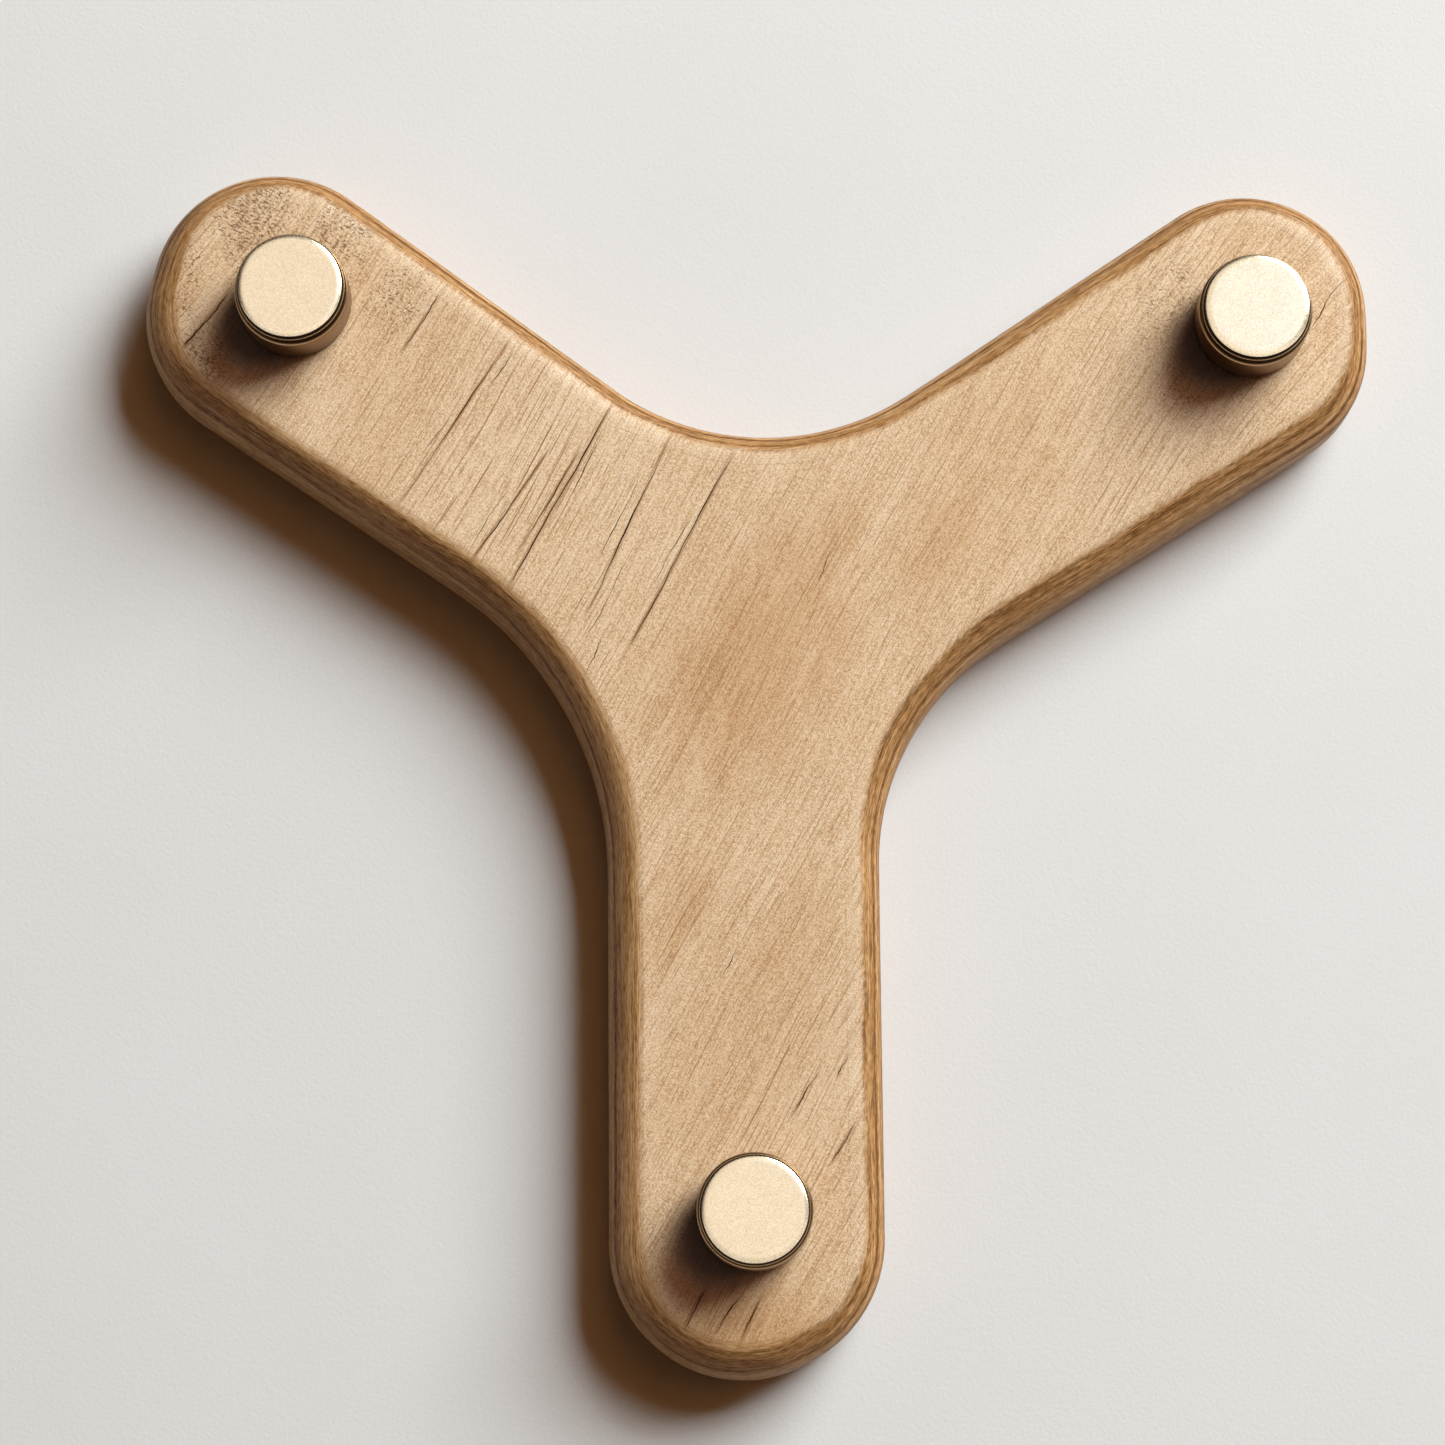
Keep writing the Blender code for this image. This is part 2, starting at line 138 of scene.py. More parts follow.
PITTED = (
    (-110.0, 97.0, 15.0, 12.0, 1.0),
    (-92.0, 92.0, 17.0, 10.0, 0.7),
    (-77.0, 79.0, 13.0, 8.0, 0.4),
    (-129.0, 80.0, 17.0, 7.0, 0.7),
    (-124.0, 62.0, 15.0, 9.0, 0.8),
    (94.0, 78.0, 17.0, 9.0, 0.3),
    (99.0, 60.0, 15.0, 9.0, 0.2),
)
HALO_WIDTH = 0.26  # checks at least this wide have a brown halo

# A painted shadow of each peg on the wood, darkest near its foot and falling mostly below and to the left, in
# millimetres.
PEG_SHADOW_PAINT = (0.13, 0.085, 0.055)
PEG_SHADOW_ASIDE = (-7.5, -5.5)
PEG_SHADOW_CORE = 6.5
PEG_SHADOW_REACH = 13.2

# The fine line scratched round the rim where two passes of the shaping met. The reach of a point is how far
# round the rim it lies from the edge of the flat face, in millimetres.
SCRIBE_REACH = 7.7
SCRIBE_DEPTH = 0.14 * MM
SCRIBE_HALF = radians(3.0)

# Pegs, measured along and about their axes.
TURNED_SIDES = 96
SHARP_METAL = radians(35.0)  # edges of metal sharper than this stay crisp
CROWN_STEP = 0.65 * MM  # the crown's edge stands this far inside the cap's own radius
CROWN_DROP = 0.26 * MM
CROWN_SOFT = 1.4 * MM
BEAD_DROP = 1.60 * MM
BEAD_RADIUS = 0.12 * MM
BEAD_OUT = 0.48 * MM  # the bead's middle, beyond the crown's edge
SOCKET_RADIUS = 4.3 * MM
SOCKET_DEPTH = 1.6 * MM
BARREL_BORE = 4.3 * MM
BARREL_FLOOR = 2.7 * MM
BARREL_LIP = 0.5 * MM
SCREW_HOLE = 2.4 * MM
WASHER_HOLE = 4.6 * MM
WASHER_SOFT = 0.1 * MM
STUD_PITCH = 1.25 * MM
STUD_THREAD_DEPTH = 0.65 * MM
STUD_CHAMFER = 0.8 * MM
THREAD_LEVEL = 0.1 * MM  # the height between a stud's rings of points

# Colours of the brass where it isn't plain; the cap's flank shade, the barrel's foot and mouth shades and its
# lip highlight are painted.
FLANK_SHADE_PAINT = (0.022, 0.009, 0.003)
BEAD_BRASS = (0.34, 0.20, 0.085)
BARREL_FOOT_SHADE = (0.05, 0.024, 0.009)
MOUTH_SHADE_PAINT = (0.045, 0.022, 0.009)
LIP_HIGHLIGHT_BRASS = (0.46, 0.32, 0.19)

# Wood screws: the peg's own and the hanging plates', with the pilot holes they leave in the board.
PEG_SHANK_RADIUS = 2.0 * MM
PEG_SCREW_PITCH = 1.8 * MM
PLATE_SHANK_RADIUS = 1.4 * MM
PLATE_SCREW_PITCH = 1.3 * MM
PILOT_EXTRA = 0.5 * MM

# Hanging plates and the pockets behind their keyholes.
KEYHOLE_HEAD_RADIUS = 4.5 * MM
KEYHOLE_SLOT_RADIUS = 2.3 * MM
KEYHOLE_HALF_SPACING = 4.5 * MM
POCKET_RADIUS = 6.0 * MM
POCKET_DEPTH = 7.0 * MM
PLATE_SOFT = 0.25 * MM
CUT_PAST = 1.0 * MM  # how far a cutter reaches past the face it starts from

TOWARDS_KEY = Vector((1.02, -1.0, 1.05)).normalized()

WORLD_SEEN = (0.78, 0.75, 0.72)
WORLD_FILL = (0.045, 0.020, 0.0075)
WORLD_MIRRORED = (0.050, 0.026, 0.012)

# Camera, in the frame's own axes.
CAMERA_PLACE = (-0.00227, -1.084, -0.184)
CAMERA_TILT = radians(8.9)
CAMERA_YAW = 0.0026
CAMERA_LENS = 121.58


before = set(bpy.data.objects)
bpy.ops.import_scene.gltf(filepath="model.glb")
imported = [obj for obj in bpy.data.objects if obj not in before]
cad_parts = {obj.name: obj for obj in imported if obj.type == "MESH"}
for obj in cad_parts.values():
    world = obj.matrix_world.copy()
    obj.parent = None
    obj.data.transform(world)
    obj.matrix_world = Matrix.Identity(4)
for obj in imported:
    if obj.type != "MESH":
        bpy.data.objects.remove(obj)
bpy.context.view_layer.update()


# --- shader building ---


class Shader:
    """One material's node tree; each method adds a node and returns its output socket."""

    def __init__(self, name):
        self.material = bpy.data.materials.new(name)
        self.material.use_nodes = True
        self.tree = self.material.node_tree
        self.surface = self.tree.nodes["Principled BSDF"]

    def feed(self, socket, value):
        if isinstance(value, bpy.types.NodeSocket):
            self.tree.links.new(value, socket)
        elif socket.type == "RGBA":
            socket.default_value = (*value, 1.0)
        else:
            socket.default_value = value

    def node(self, kind, **settings):
        node = self.tree.nodes.new(kind)
        for setting, value in settings.items():
            setattr(node, setting, value)
        return node

    def finish(self, **inputs):
        """Feed the Principled shader; base_color feeds "Base Color" and so on."""
        for name, value in inputs.items():
            self.feed(self.surface.inputs[name.replace("_", " ").title().replace("Ior", "IOR")], value)
        return self.material

    def math(self, operation, *values):
        node = self.node("ShaderNodeMath", operation=operation)
        for socket, value in zip(node.inputs, values):
            self.feed(socket, value)
        return node.outputs[0]

    def chain(self, operation, values):
        """The first value, with each later one joined on by this operation."""
        total = values[0]
        for value in values[1:]:
            total = self.math(operation, total, value)
        return total

    def add(self, *values):
        return self.chain("ADD", values)

    def times(self, *values):
        return self.chain("MULTIPLY", values)

    def most(self, *values):
        return self.chain("MAXIMUM", values)

    def apart(self, first, second):
        return self.math("ABSOLUTE", self.math("SUBTRACT", first, second))

    def rest_of(self, share):
        return self.math("SUBTRACT", 1.0, share)

    def ease(self, value, low, high, start=0.0, end=1.0):
        """value, eased from start at low to end at high."""
        node = self.node("ShaderNodeMapRange", interpolation_type="SMOOTHSTEP")
        names = ("Value", "From Min", "From Max", "To Min", "To Max")
        for name, number in zip(names, (value, low, high, start, end)):
            self.feed(node.inputs[name], number)
        return node.outputs[0]

    def vector(self, x, y, z):
        node = self.node("ShaderNodeCombineXYZ")
        for socket, value in zip(node.inputs, (x, y, z)):
            self.feed(socket, value)
        return node.outputs[0]

    def stretched(self, place, sizes):
        """The place divided by a size on each axis, so that a noise there has features of those sizes."""
        return self.vector(*(self.math("DIVIDE", part, size) for part, size in zip(place, sizes)))

    def noise(self, vector, detail=2.0, roughness=0.5):
        node = self.node("ShaderNodeTexNoise")
        self.feed(node.inputs["Vector"], vector)
        for name, number in (("Scale", 1.0), ("Detail", detail), ("Roughness", roughness)):
            self.feed(node.inputs[name], number)
        return node.outputs["Fac"]

    def waver(self, place, sizes, swing, detail=2.0, roughness=0.5):
        """A noise with features of these sizes, around zero and about this many units either way."""
        noise = self.noise(self.stretched(place, sizes), detail, roughness)
        return self.math("MULTIPLY", self.math("SUBTRACT", noise, 0.5), 2.0 * swing)

    def mix(self, factor, first, second, blend="MIX"):
        node = self.node("ShaderNodeMix", data_type="RGBA", blend_type=blend)
        for index, value in ((0, factor), (6, first), (7, second)):
            self.feed(node.inputs[index], value)
        return node.outputs[2]

    def ramp(self, value, *stops):
        """Colours along a value, from (position, colour) pairs."""
        node = self.node("ShaderNodeValToRGB")
        elements = node.color_ramp.elements
        while len(elements) < len(stops):
            elements.new(0.5)
        for element, (position, colour) in zip(elements, stops):
            element.position = position
            element.color = (*colour, 1.0)
        self.feed(node.inputs["Fac"], value)
        return node.outputs["Color"]

    def bump(self, height, distance, strength):
        node = self.node("ShaderNodeBump")
        self.feed(node.inputs["Height"], height)
        self.feed(node.inputs["Distance"], distance)
        self.feed(node.inputs["Strength"], strength)
        return node.outputs[0]

    def attribute(self, name):
        return self.node("ShaderNodeAttribute", attribute_name=name).outputs["Fac"]

    def place_mm(self):
        """The point in the object's own axes, in millimetres, as three sockets."""
        coordinates = self.node("ShaderNodeTexCoord").outputs["Object"]
        parts = self.node("ShaderNodeSeparateXYZ")
        self.feed(parts.inputs[0], coordinates)
        return [self.math("MULTIPLY", part, 1.0 / MM) for part in parts.outputs]


# --- wood ---


def grain_place(s, x, z):
    """(straight across, across with the fibres' waviness, along) the grain, in millimetres."""
    wave = s.waver((x, z, 0.0), (60.0, 60.0, 1.0), 1.6, detail=1.0)
    bend = s.times(s.math("POWER", s.math("ABSOLUTE", x), 3.0), s.math("SIGN", x), GRAIN_BEND)
    straight = s.add(s.times(x, GRAIN_ACROSS[0]), s.times(z, GRAIN_ACROSS[1]), bend)
    along = s.add(s.times(x, GRAIN_ALONG[0]), s.times(z, GRAIN_ALONG[1]))
    return straight, s.add(straight, wave), along


def soft_spots(s, x, z, spots, ragged):
    """The strongest of these patches here; ragged, in shares of their size, breaks up their borders."""
    total = 0.0
    for centre_x, centre_z, length, width, strength in spots:
        from_x = s.math("SUBTRACT", x, centre_x)
        from_z = s.math("SUBTRACT", z, centre_z)
        along = s.add(s.times(from_x, GRAIN_ALONG[0] / length), s.times(from_z, GRAIN_ALONG[1] / length))
        across = s.add(s.times(from_x, GRAIN_ACROSS[0] / width), s.times(from_z, GRAIN_ACROSS[1] / width))
        reach = s.math("SQRT", s.add(s.times(along, along), s.times(across, across)))
        spot = s.ease(s.add(reach, ragged), 1.15, 0.1)
        total = s.most(total, s.times(spot, strength))
    return total


def painted_peg_shadow(s, x, z, ragged):
    """Painted shadow: how far the wood near the closest peg is darkened, as if in that peg's cast shadow."""
    total = 0.0
    for side in SIDES:
        peg = Axis(f"{side}_peg_barrel")
        from_x = s.math("SUBTRACT", x, peg.x / MM + PEG_SHADOW_ASIDE[0])
        from_z = s.math("SUBTRACT", z, peg.z / MM + PEG_SHADOW_ASIDE[1])
        distance = s.math("SQRT", s.add(s.times(from_x, from_x), s.times(from_z, from_z)))
        spot = s.ease(s.add(distance, s.times(ragged, 4.0)), PEG_SHADOW_REACH, PEG_SHADOW_CORE)
        total = s.most(total, spot)
    return total


def face_fibres(s, across, along, y):
    """The tone of the long grain around zero, from hair-fine fibres up to broad clouds."""
    sizes = {
        "hair": (0.30, 14.0, 1.5, 3.0, 0.7),
        "fibre": (0.66, 40.0, 3.0, 3.0, 0.65),
        "strand": (1.9, 90.0, 5.0, 2.0, 0.5),
        "band": (7.0, 160.0, 12.0, 2.0, 0.5),
        "cloud": (22.0, 42.0, 30.0, 2.0, 0.5),
    }
    tones = {}
    for name, (wide, long, deep, detail, roughness) in sizes.items():
        tones[name] = s.waver((across, along, y), (wide, long, deep), 1.0, detail, roughness)
    return tones


def pore_strokes(s, across, along, y):
    """Short dark pores lying along the grain, in drifts."""
    strokes = s.noise(s.stretched((across, along, y), (0.42, 8.0, 2.5)), detail=1.5, roughness=0.6)
    drift = s.noise(s.stretched((across, along, 3.0), (11.0, 34.0, 1.0)))
    return s.times(s.ease(strokes, 0.60, 0.70), s.ease(drift, 0.42, 0.66, 0.4, 1.0))


def drawn_lines(s, across, along, y, spacing, length, half_width):
    """Fine dark lines that run along the grain about this far apart, and break off now and then."""
    drift = s.waver((across, along, y), (2.2 * spacing, length, 4.0), 0.5)
    place = s.add(s.times(across, 1.0 / spacing), drift)
    off = s.apart(s.math("FRACT", place), 0.5)
    line = s.math("FLOOR", place)
    broken = s.noise(s.stretched((line, along, 0.0), (0.37, 0.3 * length, 1.0)), detail=3.0, roughness=0.6)
    half = half_width / spacing
    return s.times(s.ease(off, 1.5 * half, 0.4 * half), s.ease(broken, 0.46, 0.60))


def check_halo(s, straight, along):
    """Brown stain beside the larger drying checks."""
    total = 0.0
    for across_start, across_end, start, end, width, _ in CHECKS:
        if width < HALO_WIDTH:
            continue
        slope = (across_end - across_start) / (end - start)
        line = s.add(s.times(along, slope), across_start - slope * start)
        off = s.apart(straight, line)
        half = (end - start) / 2.0
        past = s.apart(along, (start + end) / 2.0)
        beside = s.times(s.ease(off, 1.7 * width + 0.25, 0.0), s.ease(past, half + 3.0, half - 3.0))
        total = s.most(total, beside)
    return total


def rim_share(s, reach, facing, across, along):
    """0 on the face, 1 on the burnished rim; the border wanders, and lies lower towards the key, as painted
    light there and painted shade away from it.
    """
    start = s.add(s.ease(facing, -0.75, 0.2, 0.8, 3.0), s.ease(facing, 0.2, 0.98, 0.0, 1.5))
    ragged = s.waver((across, along, 0.0), (0.7, 2.6, 1.0), 1.8, detail=4.0, roughness=0.72)
    wander = s.waver((across, along, 5.0), (24.0, 24.0, 1.0), 1.2, detail=1.0)
    return s.ease(s.add(reach, s.times(start, -1.0), ragged, wander), -1.2, 1.0)


def rim_colour(s, reach, facing, down, x, z):
    """Brown streaks that run with the contour, and how they stand up; with painted light and shade by how the
    rim faces the key and the floor.
    """
    hair = s.waver((x, z, reach), (7.0, 7.0, 0.17), 1.0, detail=4.0, roughness=0.72)
    streak = s.waver((x, z, reach), (34.0, 34.0, 0.9), 1.0)
    fleck = s.waver((x, z, reach), (2.2, 2.2, 0.3), 1.0, detail=3.0, roughness=0.65)
    scribe = s.ease(s.apart(reach, SCRIBE_REACH), 0.65, 0.1)
    light = s.ease(s.apart(reach, 9.1), 0.9, 0.2)
    # painted shade: a darker band round the rim where it faces the floor
    floor_side_shade = s.times(s.ease(reach, 0.8, 3.2), s.ease(reach, 6.4, 4.6), s.ease(down, 0.1, 0.7, 0.15, 1.0))
    # painted shade where the rim faces up and away from the key
    shaded = s.times(s.ease(facing, 0.25, -0.1), s.ease(down, 0.1, -0.4))
    tone = s.add(
        0.52,
        s.times(hair, 0.85),
        s.times(streak, 0.5),
        s.times(fleck, 0.75),
        s.times(scribe, -0.30),
        s.times(light, 0.16),
        s.ease(reach, 9.6, 11.5, 0.0, -0.10),
        # painted light and shade: the rim lighter where it faces away from the key, darker towards it
        s.ease(facing, -0.8, 0.8, 0.06, -0.21),
        s.times(shaded, s.ease(reach, 1.5, 10.5, -0.06, -0.16)),
        s.times(floor_side_shade, -0.26),
    )
    return s.ramp(tone, *RIM_TONES), hair


def face_tone(s, fibres, speckle, streaked):
    """How light the unmarked face is."""
    return s.add(
        0.64,
        s.times(streaked, 0.06),
        s.times(fibres["hair"], 0.50),
        s.times(fibres["fibre"], 0.24),
        s.times(fibres["strand"], 0.18),
        s.times(fibres["band"], 0.14),
        s.times(fibres["cloud"], 0.12),
        s.times(speckle, 1.3),
    )


def face_marks(s, grain, y, fibre, streaked, front_only):
    """Where drawn lines, the stain beside checks or pores darken the face."""
    straight, across, along = grain
    fine = s.times(drawn_lines(s, across, along, y, *FINE_LINES), s.ease(streaked, 0.0, 1.0, 0.6, 0.9))
    bold = s.times(drawn_lines(s, across, along, y, *BOLD_LINES), s.ease(streaked, 0.0, 1.0, 0.15, 1.0))
    halo = s.times(check_halo(s, straight, along), s.ease(fibre, 0.25, -0.15, 0.3, 0.95), front_only)
    pores = pore_strokes(s, across, along, y)
    return s.most(fine, bold, halo, s.times(pores, 0.55))


def face_pits(s, x, z, across, along, pitted):
    """Small ragged pits in flurries, which thin out towards the border of a pitted patch."""
    dots = s.noise(s.stretched((across, along, 0.0), PIT_SIZE), detail=3.0, roughness=0.75)
    flurry = s.waver((x, z, 0.0), FLURRY_SIZE, 0.12)
    return s.times(s.ease(s.add(dots, flurry, s.times(pitted, 0.09)), 0.59, 0.64), s.ease(pitted, 0.0, 0.2))


def wood_material(front_mm):
    s = Shader("oiled_light_wood")
    x, y, z = s.place_mm()
    grain = grain_place(s, x, z)
    _, across, along = grain
    fibres = face_fibres(s, across, along, y)
    speckle = s.waver((x, y, z), (0.32, 0.32, 0.32), 1.0, roughness=0.7)
    ragged = s.waver((x, z, 0.0), (9.0, 14.0, 1.0), 0.45, detail=3.0)
    depth = s.math("SUBTRACT", y, front_mm)
    front_only = s.ease(depth, 3.0, 2.0)  # 1 at the front, 0 on the plain back
    stained = s.times(soft_spots(s, x, z, STAINED, ragged), front_only)
    streaked = soft_spots(s, x, z, STREAKED, ragged)
    pitted = s.times(soft_spots(s, x, z, PITTED, ragged), front_only)

    face = s.ramp(face_tone(s, fibres, speckle, streaked), *FACE_TONES)
    face = s.mix(stained, face, STAIN, "MULTIPLY")
    # the painted shadow of each peg
    face = s.mix(s.times(painted_peg_shadow(s, x, z, ragged), front_only), face, PEG_SHADOW_PAINT, "MULTIPLY")
    marks = face_marks(s, grain, y, fibres["fibre"], streaked, front_only)
    face = s.mix(s.times(marks, 0.9), face, LINE_BROWN)
    pits = face_pits(s, x, z, across, along, pitted)
    face = s.mix(s.times(pits, 0.85), face, PIT_BROWN)

    reach = s.attribute("rim_reach")
    facing = s.attribute("rim_facing")
    # painted shade dimming the highlight where the rim begins towards the key
    key_edge_shade = s.times(s.ease(reach, -0.5, 2.5), s.ease(facing, 0.1, 0.8))
    face = s.mix(key_edge_shade, face, KEY_EDGE_SHADE, "MULTIPLY")
    rim = rim_share(s, reach, facing, across, along)
    brown, rim_hair = rim_colour(s, reach, facing, s.attribute("rim_down"), x, z)
    colour = s.mix(rim, face, brown)

    # painted shade down inside the checks, over the cracks' own darker wood
    in_check = s.times(s.ease(depth, 0.005, 0.04), s.ease(reach, 0.6, -0.2), front_only)
    colour = s.mix(in_check, colour, CHECK_SHADE_BROWN)
    dry = s.rest_of(in_check)

    relief = s.add(
        s.times(fibres["hair"], 0.25),
        s.times(fibres["fibre"], 0.2),
        s.times(speckle, 0.6),
        s.times(marks, -0.35),
        s.times(pits, -2.4),
    )
    relief = s.add(s.times(relief, s.rest_of(rim)), s.times(rim_hair, 0.9, rim))
    roughness = s.add(0.44, s.times(fibres["strand"], 0.06), s.times(speckle, 0.06), s.times(marks, 0.12))
    return s.finish(
        base_color=colour,
        roughness=roughness,
        specular_ior_level=s.times(dry, 0.16),
        coat_weight=s.times(dry, 0.05),
        coat_roughness=0.35,
        normal=s.bump(relief, 0.07 * MM, 0.7),
    )


# --- metals and other materials ---


def satin_brass(front_mm):
    """Pale blasted brass: a fine even grain, the faintest cloudiness, and painted shade on its steep flank.
    """
    s = Shader("satin_brass")
    place = s.place_mm()
    grain = s.waver(place, (0.42, 0.42, 0.42), 1.0, roughness=0.75)
    cloud = s.waver(place, (5.0, 5.0, 5.0), 1.0)
    tone = s.add(0.5, s.times(grain, 1.25), s.times(cloud, 0.18))
    polished = s.ramp(tone, (0.0, (0.76, 0.61, 0.41)), (1.0, (0.96, 0.80, 0.58)))
    depth = s.math("SUBTRACT", place[1], front_mm)
    below_crown = s.ease(depth, CROWN_DROP / MM - 0.01, CROWN_DROP / MM + 0.05)
    off_bead = s.ease(s.apart(depth, BEAD_DROP / MM), 0.10, 0.16)
    # painted shade: the steep flank below the crown is painted dark, all but the bead
    flank_shade = s.times(below_crown, off_bead)
    colour = s.mix(flank_shade, polished, FLANK_SHADE_PAINT)
    colour = s.mix(s.times(below_crown, s.rest_of(off_bead)), colour, BEAD_BRASS)
    roughness = s.add(0.27, s.times(grain, 0.06), s.times(cloud, 0.03), s.times(flank_shade, 0.40))
    return s.finish(
        base_color=colour,
        metallic=s.rest_of(flank_shade),
        specular_ior_level=s.ease(flank_shade, 0.0, 1.0, 0.5, 0.06),
        roughness=roughness,
        normal=s.bump(grain, 0.012 * MM, 0.4),
    )


def turned_brass(foot_mm, lip_mm):
    """Dark turned brass, finely ringed round its axis; a painted highlight on its lip, painted shade at its
    mouth and foot.
    """
    s = Shader("turned_brass")
    x, y, z = s.place_mm()
    rings = s.waver((0.0, y, 0.0), (1.0, 0.09, 1.0), 1.0, roughness=0.6)
    wear = s.waver((x, y, z), (2.5, 1.2, 2.5), 1.0, detail=3.0)
    tone = s.add(0.5, s.times(rings, 0.3), s.times(wear, 0.3))
    colour = s.ramp(tone, (0.0, (0.15, 0.066, 0.022)), (1.0, (0.31, 0.155, 0.058)))
    # painted shade where the barrel stands on the wood
    foot = s.ease(s.math("SUBTRACT", foot_mm, y), 0.6, 3.6, 0.8, 0.0)
    colour = s.mix(foot, colour, BARREL_FOOT_SHADE)
    below_lip = s.math("SUBTRACT", y, lip_mm)
    # painted shade round the barrel's mouth, under the cap's washer
    colour = s.mix(s.ease(below_lip, 0.12, 0.02, 0.0, 0.85), colour, MOUTH_SHADE_PAINT)
    # painted highlight: the lip's rounding is painted paler brass
    worn = s.times(s.ease(below_lip, 0.06, 0.14), s.ease(below_lip, 0.46, 0.32))
    colour = s.mix(s.times(worn, 0.85), colour, LIP_HIGHLIGHT_BRASS)
    roughness = s.add(0.32, s.times(rings, 0.06), s.times(wear, 0.06))
    return s.finish(
        base_color=colour, metallic=1.0, roughness=roughness, normal=s.bump(rings, 0.01 * MM, 0.6)
    )


def zinc():
    """Zinc-plated steel: cool, a little blotchy, with fine rolling marks."""
    s = Shader("zinc_plate")
    x, y, z = s.place_mm()
    rolled = s.waver((x, y, z), (0.12, 0.5, 9.0), 1.0, detail=3.0, roughness=0.65)
    bloom = s.waver((x, y, z), (3.0, 3.0, 3.0), 1.0, detail=4.0)
    tone = s.add(0.5, s.times(rolled, 0.25), s.times(bloom, 0.45))
    colour = s.ramp(tone, (0.0, (0.42, 0.43, 0.43)), (0.6, (0.62, 0.62, 0.60)), (1.0, (0.74, 0.73, 0.70)))
    roughness = s.add(0.34, s.times(rolled, 0.07), s.times(bloom, 0.08))
    return s.finish(
        base_color=colour, metallic=1.0, roughness=roughness, normal=s.bump(rolled, 0.01 * MM, 0.5)
    )


def nylon():
    """Dark moulded nylon, matt, with a pebbled skin."""
    s = Shader("dark_nylon")
    place = s.place_mm()
    pebble = s.waver(place, (0.25, 0.25, 0.25), 1.0)
    worn = s.waver(place, (2.0, 2.0, 2.0), 1.0)
    tone = s.add(0.5, s.times(pebble, 0.3), s.times(worn, 0.3))
    colour = s.ramp(tone, (0.0, (0.012, 0.008, 0.006)), (1.0, (0.045, 0.030, 0.022)))
    roughness = s.add(0.58, s.times(pebble, 0.08))
    return s.finish(base_color=colour, roughness=roughness, normal=s.bump(pebble, 0.01 * MM, 0.5))


def plaster(name, shade=1.0, glow=0.0):
    """Pale paint, as bright as this shade, with a faint roller texture; glow fills in far from the lights."""
    s = Shader(name)
    x, y, z = s.place_mm()
    stipple = s.waver((x, y, z), (0.8, 0.8, 0.8), 1.0, detail=4.0, roughness=0.65)
    patch = s.waver((x, y, z), (70.0, 70.0, 70.0), 1.0, detail=3.0)
    tone = s.add(0.5, s.times(stipple, 0.2), s.times(patch, 0.35))
    colour = s.ramp(tone, (0.0, (0.735, 0.705, 0.680)), (1.0, (0.785, 0.765, 0.745)))
    colour = s.mix(1.0, colour, (shade, shade, shade), "MULTIPLY")
    bump = s.bump(stipple, 0.06 * MM, 0.5)
    return s.finish(
        base_color=colour,
        roughness=0.95,
        specular_ior_level=0.0,
        emission_color=colour,
        emission_strength=glow,
        normal=bump,
    )


# --- mesh helpers ---


def finish_mesh(bm, name, sharp=SHARP_METAL):
    """A smooth-shaded mesh whose edges sharper than this stay crisp."""
    mesh = bpy.data.meshes.new(name)
    bmesh.ops.recalc_face_normals(bm, faces=bm.faces)
    bm.to_mesh(mesh)
    bm.free()
    mesh.shade_smooth()
    mesh.set_sharp_from_angle(angle=sharp)
    return mesh


def show(name, mesh, material, body, slot, *nodes):
    """Put a finished mesh in the scene, riding on its body in place of these CAD nodes."""
    mesh.materials.clear()
    mesh.materials.append(material)
    piece = bpy.data.objects.new(name, mesh)
    bpy.context.scene.collection.objects.link(piece)
    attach(piece, body)
    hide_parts(*nodes)
    return piece


def cut_away(mesh, cutter, sharp=SHARP_METAL):
    """The mesh with the cutter's volume removed; edges sharper than this stay crisp."""
    body = bpy.data.objects.new("cut_body", mesh)
    tool = bpy.data.objects.new("cut_tool", cutter)
    for obj in (body, tool):
        bpy.context.scene.collection.objects.link(obj)
    boolean = body.modifiers.new("cut", "BOOLEAN")
    boolean.operation = "DIFFERENCE"
    boolean.solver = "EXACT"
    boolean.use_self = True
    boolean.object = tool
    evaluated = body.evaluated_get(bpy.context.evaluated_depsgraph_get())
    result = bpy.data.meshes.new_from_object(evaluated)
    for obj in (body, tool):
        bpy.data.objects.remove(obj, do_unlink=True)
    result.shade_smooth()
    result.set_sharp_from_angle(angle=sharp)
    return result


def add_loft(bm, rings, joined=False):
    """Faces between rings of equally many points, capped, or joined from the last ring to the first."""
    loops = [[bm.verts.new(point) for point in ring] for ring in rings]
    pairs = list(zip(loops, loops[1:]))
    if joined:
        pairs.append((loops[-1], loops[0]))
    for near, far in pairs:
        for i in range(len(near)):
            following = (i + 1) % len(near)
            bm.faces.new((near[i], near[following], far[following], far[i]))
    if not joined:
        bm.faces.new(loops[0])
        bm.faces.new(reversed(loops[-1]))


class Axis:
    """A turning axis square to the wall: its centre, and which way its heights run."""

    def __init__(self, node, outwards=True):
        low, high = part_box(node)
        self.x = (low.x + high.x) / 2.0
        self.z = (low.z + high.z) / 2.0
        self.radius = (high.x - low.x) / 2.0
        self.height = high.y - low.y
        self.sign = -1.0 if outwards else 1.0
        self.base = high.y if outwards else low.y

    def point(self, radius, angle, height):
        return (self.x + radius * cos(angle), self.base + self.sign * height, self.z + radius * sin(angle))


def turn(bm, axis, profile, sides=TURNED_SIDES):
    """A solid of revolution. A profile from axis to axis is solid; one that never touches it is a ring."""
    hollow = profile[0][0] > 0.0
    rings = [
        [axis.point(radius, tau * i / sides, height) for i in range(sides)]
        for radius, height in profile
        if radius > 0.0
    ]
    add_loft(bm, rings, joined=hollow)


